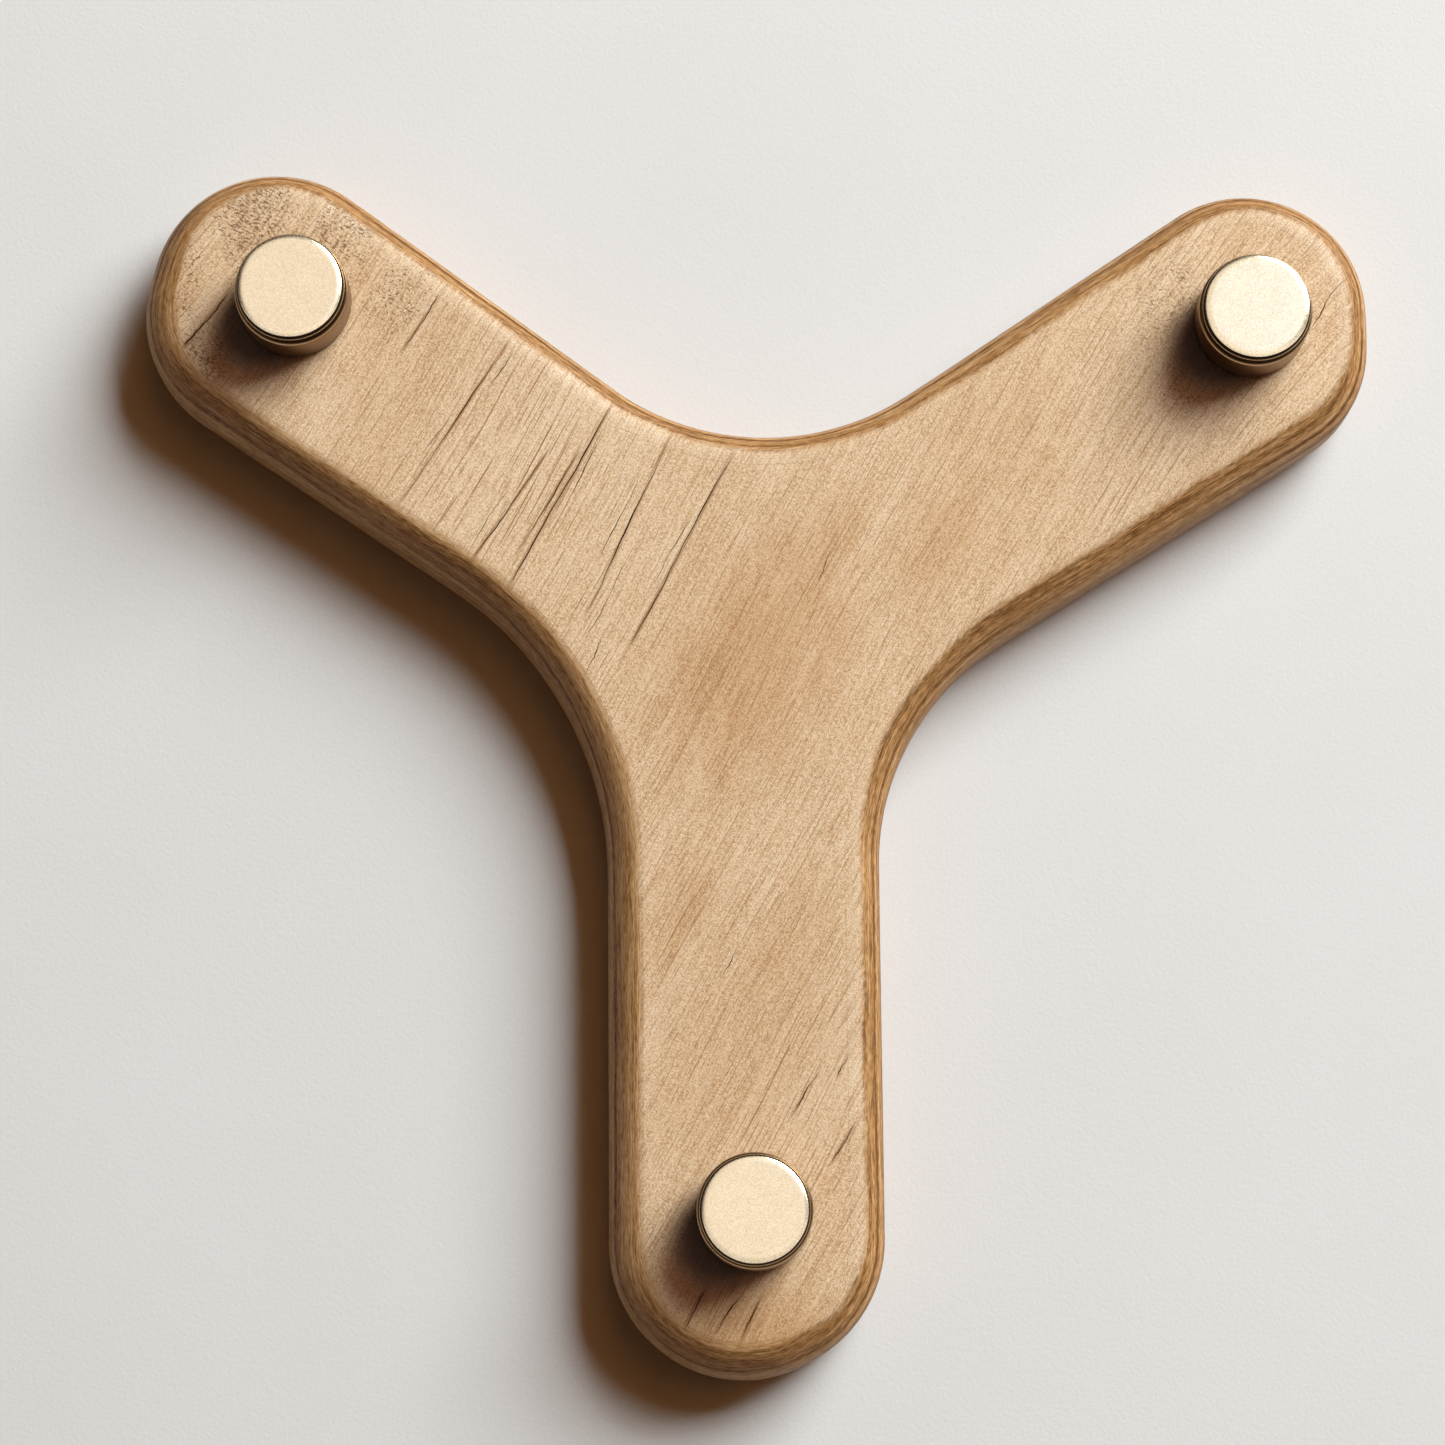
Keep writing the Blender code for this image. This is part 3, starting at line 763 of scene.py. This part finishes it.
def arc(centre, radius, start, end, steps):
    """Profile points on an arc; angles run from the radius direction towards the height direction."""
    points = []
    for i in range(steps + 1):
        angle = start + (end - start) * i / steps
        points.append((centre[0] + radius * cos(angle), centre[1] + radius * sin(angle)))
    return points


# --- board ---


def outline_from_frame():
    """The CAD board's outline, in order round the hub, from the corners of its straight side."""
    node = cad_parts["board"]
    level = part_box("board")[0].y + FRONT_ROUND
    found = {
        (round(v.co.x, 6), round(v.co.z, 6))
        for v in node.data.vertices
        if abs(v.co.y - level) < 0.05 * MM
    }
    return np.array(sorted(found, key=lambda p: np.arctan2(p[1], p[0])))


def smooth_outline(points):
    """The outline resampled finely, through its corners and along their tangents, with outward normals."""
    ahead = np.roll(points, -1, axis=0) - points
    behind = np.roll(ahead, 1, axis=0)
    tangents = ahead + behind
    tangents /= np.linalg.norm(tangents, axis=1)[:, None]
    places, normals = [], []
    for i, start in enumerate(points):
        following = (i + 1) % len(points)
        length = np.linalg.norm(ahead[i])
        out, into = tangents[i] * length, tangents[following] * length
        count = max(1, ceil(length / OUTLINE_STEP))
        for t in np.arange(count) / count:
            place = (
                (2 * t**3 - 3 * t**2 + 1) * start
                + (t**3 - 2 * t**2 + t) * out
                + (3 * t**2 - 2 * t**3) * points[following]
                + (t**3 - t**2) * into
            )
            slope = (
                (6 * t**2 - 6 * t) * (start - points[following])
                + (3 * t**2 - 4 * t + 1) * out
                + (3 * t**2 - 2 * t) * into
            )
            slope /= np.linalg.norm(slope)
            places.append(place)
            normals.append((slope[1], -slope[0]))
    return np.array(places), np.array(normals)


def board_section():
    """(inset from the outline, depth from the front, share of sanding) from the face round to the back."""
    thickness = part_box("board")[1].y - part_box("board")[0].y
    section = [(FRONT_ROUND + inset, 0.0, 0.0) for inset in reversed(FACE_INSETS)]
    scribe = SCRIBE_REACH * MM / FRONT_ROUND
    angles = [(pi / 2.0 * i / ROUND_STEPS, 0.0) for i in range(ROUND_STEPS + 1)]
    angles = [(angle, sunk) for angle, sunk in angles if abs(angle - scribe) > SCRIBE_HALF]
    angles += [(scribe - SCRIBE_HALF, 0.0), (scribe, SCRIBE_DEPTH), (scribe + SCRIBE_HALF, 0.0)]
    for angle, sunk in sorted(angles):
        radius = FRONT_ROUND - sunk
        inset = FRONT_ROUND - radius * sin(angle)
        section.append((inset, FRONT_ROUND - radius * cos(angle), sin(angle * 2.0)))
    for i in range(ROUND_STEPS + 1):
        angle = pi / 2.0 * i / ROUND_STEPS
        depth = thickness - BACK_ROUND * (1.0 - sin(angle))
        section.append((BACK_ROUND * (1.0 - cos(angle)), depth, 0.0))
    section += [(BACK_ROUND + inset, thickness, 0.0) for inset in FACE_INSETS]
    return section


def board_shell(places, normals):
    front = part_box("board")[0].y
    round_about = tau * np.arange(len(places)) / len(places)
    wander = 0.5 * np.sin(11.0 * round_about + 0.7) + 0.3 * np.sin(23.0 * round_about + 2.1)
    wander += 0.2 * np.sin(47.0 * round_about + 4.4)
    bm = bmesh.new()
    rings = []
    for inset, depth, sanded in board_section():
        shift = inset + HAND_SANDING * sanded * (1.0 + wander)
        ring = places - normals * shift[:, None]
        rings.append([(x, front + depth, z) for x, z in ring])
    add_loft(bm, rings)
    return finish_mesh(bm, "wood_board")


def on_grain(across, along):
    """The point of the face, in metres, at this place across and along the grain, in millimetres."""
    x = -across
    for _ in range(20):
        z = (along - GRAIN_ALONG[0] * x) / GRAIN_ALONG[1]
        miss = GRAIN_ACROSS[0] * x + GRAIN_ACROSS[1] * z + GRAIN_BEND * x**3 - across
        slope = GRAIN_ACROSS[0] - GRAIN_ACROSS[1] * GRAIN_ALONG[0] / GRAIN_ALONG[1] + 3.0 * GRAIN_BEND * x**2
        x -= miss / slope
    z = (along - GRAIN_ALONG[0] * x) / GRAIN_ALONG[1]
    return x * MM, z * MM


def add_check(bm, front, number, check):
    """A hairline crack's cutter: a V section along the grain, tapering to nothing at both ends."""
    across_start, across_end, start, end, width, depth = check
    clear = 0.2
    rings = []
    for i in range(CHECK_STATIONS + 1):
        share = i / CHECK_STATIONS
        swell = max(0.06, sin(pi * share) ** 0.5) * (1.0 + 0.25 * sin(9.0 * share + number))
        wiggle = 0.16 * sin(7.0 * share + 1.7 * number) + 0.06 * sin(17.0 * share + number)
        wiggle += 0.05 * sin(41.0 * share + 2.3 * number)
        across = across_start + (across_end - across_start) * share + wiggle
        along = start + (end - start) * share
        half = 0.7 * width / 2.0 * swell
        top = half * (1.0 + clear / depth)
        left, right = on_grain(across - top, along), on_grain(across + top, along)
        bottom = on_grain(across, along)
        rings.append((
            (left[0], front - clear * MM, left[1]),
            (right[0], front - clear * MM, right[1]),
            (bottom[0], front + depth * swell * MM, bottom[1]),
        ))
    add_loft(bm, rings)


def bar_outline(x, z, half_length, radius, steps=24):
    """An upright bar with half-round ends, as (x, z) points round its middle."""
    reach = half_length - radius
    points = []
    for middle, start in ((z + reach, 0.0), (z - reach, pi)):
        for i in range(steps + 1):
            angle = start + pi * i / steps
            points.append((x + radius * cos(angle), middle + radius * sin(angle)))
    return points


def pilot_outline(screw, shank):
    """A screw's round pilot hole."""
    return bar_outline(screw.x, screw.z, shank + FIT_GAP, shank + FIT_GAP, 12)


def add_prism(bm, outline, low, high):
    add_loft(bm, [[(x, y, z) for x, z in outline] for y in (low, high)])


def hanger_cutters(bm, side):
    """The plate's recess, the pocket behind its keyhole and its two pilot holes, out of the back."""
    low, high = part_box(f"{side}_keyhole_plate")
    x, z = (low.x + high.x) / 2.0, (low.z + high.z) / 2.0
    recess = bar_outline(x, z, (high.z - low.z) / 2.0 + FIT_GAP, (high.x - low.x) / 2.0 + FIT_GAP)
    add_prism(bm, recess, low.y - FIT_GAP, CUT_PAST)
    pocket = bar_outline(x, z, KEYHOLE_HALF_SPACING + POCKET_RADIUS, POCKET_RADIUS)
    add_prism(bm, pocket, -POCKET_DEPTH, CUT_PAST)
    for end in ("upper", "lower"):
        screw = Axis(f"{side}_plate_screw_{end}")
        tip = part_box(f"{side}_plate_screw_{end}")[0].y - PILOT_EXTRA
        add_prism(bm, pilot_outline(screw, PLATE_SHANK_RADIUS), tip, CUT_PAST)


def board_cutters(front):
    bm = bmesh.new()
    for number, check in enumerate(CHECKS):
        add_check(bm, front, number, check)
    for side in SIDES:
        screw = Axis(f"{side}_peg_screw")
        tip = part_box(f"{side}_peg_screw")[1].y + PILOT_EXTRA
        add_prism(bm, pilot_outline(screw, PEG_SHANK_RADIUS), front - CUT_PAST, tip)
    for side in ("left", "right"):
        hanger_cutters(bm, side)
    return finish_mesh(bm, "board_cutters")


def note_rim(mesh, places, normals, front):
    """Per point: its reach round the rim, and how far the rim faces the key and the floor."""
    tree = KDTree(len(places))
    for i, (x, z) in enumerate(places):
        tree.insert((x, 0.0, z), i)
    tree.balance()
    towards = np.array((TOWARDS_KEY.x, TOWARDS_KEY.z))
    towards /= np.linalg.norm(towards)
    reach, facing, down = [], [], []
    for vertex in mesh.vertices:
        x, y, z = vertex.co
        _, nearest, _ = tree.find((x, 0.0, z))
        inset = float((places[nearest] - (x, z)) @ normals[nearest])
        depth = y - front
        flat_from = FRONT_ROUND if depth < FRONT_ROUND else BACK_ROUND
        if inset > flat_from + 0.01 * MM:
            distance = flat_from - inset
        elif depth < FRONT_ROUND:
            distance = FRONT_ROUND * acos(max(-1.0, 1.0 - depth / FRONT_ROUND))
        else:
            distance = FRONT_ROUND * (pi / 2.0 - 1.0) + depth
        reach.append(distance / MM)
        facing.append(float(normals[nearest] @ towards))
        down.append(float(-normals[nearest][1]))
    for name, values in (("rim_reach", reach), ("rim_facing", facing), ("rim_down", down)):
        mesh.attributes.new(name, "FLOAT", "POINT").data.foreach_set("value", values)


def make_board(material):
    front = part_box("board")[0].y
    places, normals = smooth_outline(outline_from_frame())
    mesh = cut_away(board_shell(places, normals), board_cutters(front), radians(30.0))
    note_rim(mesh, places, normals, front)
    return show("wood_board", mesh, material, "rack", "wood", "board")


# --- pegs ---


def cap_profile(axis):
    """A crown with a soft edge, a steep flank with a fine bead halfway, and a blind socket behind."""
    height, radius = axis.height, axis.radius
    crown = radius - CROWN_STEP
    face = []
    for share in np.linspace(0.0, 1.0, 9):
        face.append((crown - CROWN_SOFT * (1.0 - share), height - CROWN_DROP * share**2))
    bead_centre = (crown + BEAD_OUT, height - BEAD_DROP)
    ledge = height - CROWN_DROP
    return (
        [(0.0, height), (crown - 3.0 * CROWN_SOFT, height)]
        + face
        + [(crown + 0.05 * MM, ledge - 0.04 * MM), (crown + 0.09 * MM, ledge - 0.12 * MM)]
        + [(crown + 0.38 * MM, height - BEAD_DROP + 0.22 * MM)]
        + arc(bead_centre, BEAD_RADIUS, radians(115.0), radians(-60.0), 8)
        + [(radius - 0.10 * MM, 0.70 * MM), (radius, 0.50 * MM), (radius, 0.15 * MM)]
        + [(radius - 0.15 * MM, 0.0), (SOCKET_RADIUS + 0.1 * MM, 0.0), (SOCKET_RADIUS, 0.1 * MM)]
        + [(SOCKET_RADIUS, SOCKET_DEPTH), (0.0, SOCKET_DEPTH)]
    )


def barrel_profile(axis):
    """A cup with a narrow rounded lip, a fine foot bevel and a screw seat in its floor."""
    height, radius = axis.height, axis.radius
    seat = BARREL_FLOOR - (BARREL_BORE - SCREW_HOLE)
    return (
        [(BARREL_BORE, height - 0.2 * MM), (BARREL_BORE + 0.2 * MM, height)]
        + arc((radius - BARREL_LIP, height - BARREL_LIP), BARREL_LIP, pi / 2.0, 0.0, 8)
        + [(radius, 0.35 * MM), (radius - 0.1 * MM, 0.1 * MM), (radius - 0.25 * MM, 0.0)]
        + [(SCREW_HOLE, 0.0), (SCREW_HOLE, seat), (BARREL_BORE, BARREL_FLOOR)]
    )


def washer_profile(axis):
    """A flat ring with softened corners."""
    height, radius = axis.height, axis.radius
    hole, soft = WASHER_HOLE, WASHER_SOFT
    return (
        [(hole, height - soft), (hole + soft, height), (radius - soft, height), (radius, height - soft)]
        + [(radius, soft), (radius - soft, 0.0), (hole + soft, 0.0), (hole, soft)]
    )


def thread_radius(outer, depth, pitch, height, angle):
    """The radius of a 60 degree thread at this height and angle."""
    phase = (height / pitch - angle / tau) % 1.0
    crest = 0.125
    flank = 0.3125
    down = min(max((abs(phase - 0.5) - crest / 2.0) / flank, 0.0), 1.0)
    return outer - depth * down


def make_stud(side, material):
    """The cap's threaded stud, coarse-threaded like the hole it screws into, with chamfered ends."""
    node = f"{side}_cap_stud"
    axis = Axis(node)
    sides = TURNED_SIDES // 2
    levels = ceil(axis.height / THREAD_LEVEL)
    rings = []
    for k in range(levels + 1):
        height = axis.height * k / levels
        limit = axis.radius - max(0.0, STUD_CHAMFER - height)
        ring = []
        for i in range(sides):
            angle = tau * i / sides
            thread = thread_radius(axis.radius, STUD_THREAD_DEPTH, STUD_PITCH, height, angle)
            radius = min(limit, thread)
            ring.append(axis.point(radius, angle, height))
        rings.append(ring)
    bm = bmesh.new()
    add_loft(bm, rings)
    mesh = finish_mesh(bm, f"{side}_threaded_stud", radians(60.0))
    return show(f"{side}_threaded_stud", mesh, material, f"{side}_cap", "stud", node)


def make_turned(side, piece, node, profile, body, slot, material):
    axis = Axis(node)
    bm = bmesh.new()
    turn(bm, axis, profile(axis))
    mesh = finish_mesh(bm, f"{side}_{piece}")
    return show(f"{side}_{piece}", mesh, material, body, slot, node)


def screw_body(axis, shank, pitch, sides=32, levels=90):
    """The rings of a screw's thread, neck and softened countersunk head, from its point up."""
    length, head = axis.height, axis.radius
    cone = head - shank
    neck = length - 0.3 * MM - cone
    thread_start = 0.72 * neck
    rings = []
    for k in range(1, levels + 1):
        height = neck * k / levels
        core = min(shank, 0.25 * MM + height / 2.0)
        ring = []
        for i in range(sides):
            angle = tau * i / sides
            radius = core
            if height < thread_start:
                radius = thread_radius(core, min(0.3 * core, 0.45 * MM), pitch, height, angle)
            ring.append(axis.point(radius, angle, height))
        rings.append(ring)
    head_profile = [
        (shank + 0.5 * cone, neck + 0.5 * cone),
        (head - 0.05 * MM, neck + cone),
        (head, neck + cone + 0.1 * MM),
        (head - 0.12 * MM, length),
        (0.6 * head, length),
    ]
    for radius, height in head_profile:
        rings.append([axis.point(radius, tau * i / sides, height) for i in range(sides)])
    return rings


def add_cross(cutter, axis):
    """The two tapering bars of a cross recess, at the screw's head."""
    length, head = axis.height, axis.radius
    reach, half, depth = 0.58 * head, 0.13 * head, 0.35 * head
    for turn_angle in (pi / 4.0, 3.0 * pi / 4.0):
        u = Vector((cos(turn_angle), sin(turn_angle)))
        v = Vector((-u.y, u.x))
        slot_rings = []
        for height, share in ((length - depth, 0.7), (length + depth, 1.3)):
            ring = []
            for a, b in ((-reach, -half), (reach, -half), (reach, half), (-reach, half)):
                spot = u * a * share + v * b * share
                ring.append((axis.x + spot.x, axis.base + axis.sign * height, axis.z + spot.y))
            slot_rings.append(ring)
        add_loft(cutter, slot_rings)


def make_wood_screw(name, node, outwards, shank, pitch, material):
    """A countersunk cross-head screw: a softened head, a neck, and a deep wood thread down to its point."""
    axis = Axis(node, outwards)
    bm = bmesh.new()
    add_loft(bm, screw_body(axis, shank, pitch))
    cutter = bmesh.new()
    add_cross(cutter, axis)
    mesh = cut_away(finish_mesh(bm, name), finish_mesh(cutter, name + "_cross"))
    return show(name, mesh, material, "rack", "screw", node)


def make_peg(side, materials):
    rings = materials["nylon"]
    make_turned(side, "foot_washer", f"{side}_foot_ring", washer_profile, "rack", "ring", rings)
    make_turned(side, "barrel", f"{side}_peg_barrel", barrel_profile, "rack", "brass", materials["barrel"])
    make_turned(side, "cap_washer", f"{side}_cap_ring", washer_profile, f"{side}_ring", "ring", rings)
    make_turned(side, "cap", f"{side}_peg_cap", cap_profile, f"{side}_cap", "brass", materials["brass"])
    make_stud(side, materials["barrel"])
    node = f"{side}_peg_screw"
    make_wood_screw(f"{side}_barrel_screw", node, True, PEG_SHANK_RADIUS, PEG_SCREW_PITCH, materials["zinc"])


# --- hanging plates ---


def keyhole_outline(x, z, steps=28):
    """A round hole for a screw's head below a slot for its shank, as one outline."""
    head_z, slot_z = z - KEYHOLE_HALF_SPACING, z + KEYHOLE_HALF_SPACING
    meet = acos(KEYHOLE_SLOT_RADIUS / KEYHOLE_HEAD_RADIUS)
    points = []
    for i in range(steps + 1):
        angle = pi * i / steps
        points.append((x + KEYHOLE_SLOT_RADIUS * cos(angle), slot_z + KEYHOLE_SLOT_RADIUS * sin(angle)))
    for i in range(2 * steps + 1):
        angle = pi - meet + (pi + 2.0 * meet) * i / (2 * steps)
        points.append((x + KEYHOLE_HEAD_RADIUS * cos(angle), head_z + KEYHOLE_HEAD_RADIUS * sin(angle)))
    return points


def make_plate(side, materials):
    node = f"{side}_keyhole_plate"
    low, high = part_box(node)
    x, z = (low.x + high.x) / 2.0, (low.z + high.z) / 2.0
    half_length, radius = (high.z - low.z) / 2.0, (high.x - low.x) / 2.0
    soft = PLATE_SOFT
    bm = bmesh.new()
    section = [(soft, low.y), (0.3 * soft, low.y + 0.3 * soft), (0.0, low.y + soft)]
    section += [(0.0, high.y - soft), (0.3 * soft, high.y - 0.3 * soft), (soft, high.y)]
    rings = []
    for inset, y in section:
        rings.append([(px, y, pz) for px, pz in bar_outline(x, z, half_length - inset, radius - inset, 40)])
    add_loft(bm, rings)
    body = finish_mesh(bm, f"{side}_hanging_plate")
    cutter = bmesh.new()
    add_prism(cutter, keyhole_outline(x, z), low.y - CUT_PAST, high.y + CUT_PAST)
    for end in ("upper", "lower"):
        screw = Axis(f"{side}_plate_screw_{end}", outwards=False)
        screw.base = high.y
        mouth = screw.radius + FIT_GAP
        hole = PLATE_SHANK_RADIUS + FIT_GAP
        sink = [(mouth, CUT_PAST), (mouth, -0.3 * MM), (hole, -0.3 * MM - (mouth - hole)), (hole, -4.0 * MM)]
        rings = [[screw.point(r, tau * i / 48, h) for i in range(48)] for r, h in sink]
        add_loft(cutter, rings)
    mesh = cut_away(body, finish_mesh(cutter, "plate_cutters"))
    show(f"{side}_hanging_plate", mesh, materials["zinc"], "rack", "plate", node)
    for end in ("upper", "lower"):
        node = f"{side}_plate_screw_{end}"
        name = f"{side}_hanger_screw_{end}"
        make_wood_screw(name, node, False, PLATE_SHANK_RADIUS, PLATE_SCREW_PITCH, materials["zinc"])


# --- stage, light and camera ---


def flat_sheet(name, corners, material):
    bm = bmesh.new()
    bm.faces.new([bm.verts.new(corner) for corner in corners])
    mesh = bpy.data.meshes.new(name)
    bm.to_mesh(mesh)
    bm.free()
    mesh.materials.append(material)
    sheet = bpy.data.objects.new(name, mesh)
    bpy.context.scene.collection.objects.link(sheet)
    return sheet


def make_stage(camera):
    """A pale wall that stands aside when the camera is behind the rack, and a pale floor."""
    gap, wide, high = 0.2 * MM, 6.0, 4.0
    floor_level, step_back = -0.30, 40.0
    wall = flat_sheet(
        "wall",
        [(-wide, gap, floor_level), (wide, gap, floor_level), (wide, gap, high), (-wide, gap, high)],
        plaster("pale_wall"),
    )
    aside = wall.driver_add("location", 1).driver
    aside.type = "SCRIPTED"
    place = aside.variables.new()
    place.name = "camera_y"
    place.type = "TRANSFORMS"
    place.targets[0].id = camera
    place.targets[0].transform_type = "LOC_Y"
    place.targets[0].transform_space = "WORLD_SPACE"
    aside.expression = f"{step_back} * (camera_y > 0)"
    floor = flat_sheet(
        "floor",
        [(x, y, floor_level) for x, y in ((-wide, -wide), (wide, -wide), (wide, wide), (-wide, wide))],
        plaster("pale_floor", shade=0.45, glow=0.95),
    )
    floor.visible_diffuse = False


def panel_light(name, towards, distance, size, radiance, colour, diffuse=True):
    """A soft square panel that faces the hub from this direction; radiance is how bright its surface is."""
    light = bpy.data.lights.new(name, "AREA")
    light.shape = "SQUARE"
    light.size = size
    light.color = colour
    light.energy = radiance * pi * size**2
    panel = bpy.data.objects.new(name, light)
    towards = Vector(towards).normalized()
    panel.location = towards * distance
    panel.rotation_euler = (-towards).to_track_quat("-Z", "Y").to_euler()
    panel.visible_camera = False
    panel.visible_diffuse = diffuse
    bpy.context.scene.collection.objects.link(panel)
    return panel


def make_world():
    """A pale surround to look at, a warm one that fills the shadows, and a dim one for metal to mirror."""
    world = bpy.data.worlds.new("studio")
    world.use_nodes = True
    bpy.context.scene.world = world
    nodes, links = world.node_tree.nodes, world.node_tree.links
    nodes.clear()
    output = nodes.new("ShaderNodeOutputWorld")
    path = nodes.new("ShaderNodeLightPath")

    def surround(colour):
        background = nodes.new("ShaderNodeBackground")
        background.inputs["Color"].default_value = (*colour, 1.0)
        return background.outputs[0]

    def either(condition, otherwise, chosen):
        mix = nodes.new("ShaderNodeMixShader")
        for socket, source in zip(mix.inputs, (path.outputs[condition], otherwise, chosen)):
            links.new(source, socket)
        return mix.outputs[0]

    lit = either("Is Glossy Ray", surround(WORLD_FILL), surround(WORLD_MIRRORED))
    links.new(either("Is Camera Ray", lit, surround(WORLD_SEEN)), output.inputs["Surface"])


def make_lights():
    """A large key softbox up and to the right, cards that only reflections see, and light for the back."""
    panel_light("key_softbox", TOWARDS_KEY, 4.0, 2.45, 16.3, (0.85, 0.955, 1.0))
    warm = panel_light("warm_fill", (0.65, -1.0, 0.7), 3.0, 3.6, 0.56, (1.0, 0.45, 0.16))
    warm.visible_glossy = False
    panel_light("front_card", (-0.06, -1.0, 0.24), 2.4, 2.4, 0.97, (1.0, 0.985, 0.97), diffuse=False)
    panel_light("cool_card", (0.24, -1.0, 0.24), 2.4, 0.6, 0.9, (0.15, 0.45, 1.0), diffuse=False)
    panel_light("back_softbox", (-0.6, 1.0, 0.6), 3.0, 1.6, 5.0, (1.0, 0.98, 0.96))
    panel_light("back_fill", (0.9, 1.0, 0.1), 3.0, 2.0, 1.2, (1.0, 0.96, 0.92))
    make_world()


def make_camera():
    data = bpy.data.cameras.new("camera")
    data.lens = CAMERA_LENS
    data.sensor_width = 36.0
    camera = bpy.data.objects.new("camera", data)
    camera.location = CAMERA_PLACE
    level = cos(CAMERA_TILT)
    forward = Vector((-sin(CAMERA_YAW) * level, cos(CAMERA_YAW) * level, sin(CAMERA_TILT)))
    camera.rotation_euler = forward.to_track_quat("-Z", "Y").to_euler()
    bpy.context.scene.collection.objects.link(camera)
    bpy.context.scene.camera = camera
    return camera


# --- assembly ---


def build():
    wood = wood_material(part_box("board")[0].y / MM)
    materials = {
        "brass": satin_brass(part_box("left_peg_cap")[0].y / MM),
        "barrel": turned_brass(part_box("board")[0].y / MM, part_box("left_peg_barrel")[0].y / MM),
        "nylon": nylon(),
        "zinc": zinc(),
    }
    make_board(wood)
    for side in SIDES:
        make_peg(side, materials)
    for side in ("left", "right"):
        make_plate(side, materials)
    make_stage(make_camera())
    make_lights()
    bpy.context.scene.view_settings.view_transform = "Standard"


build()
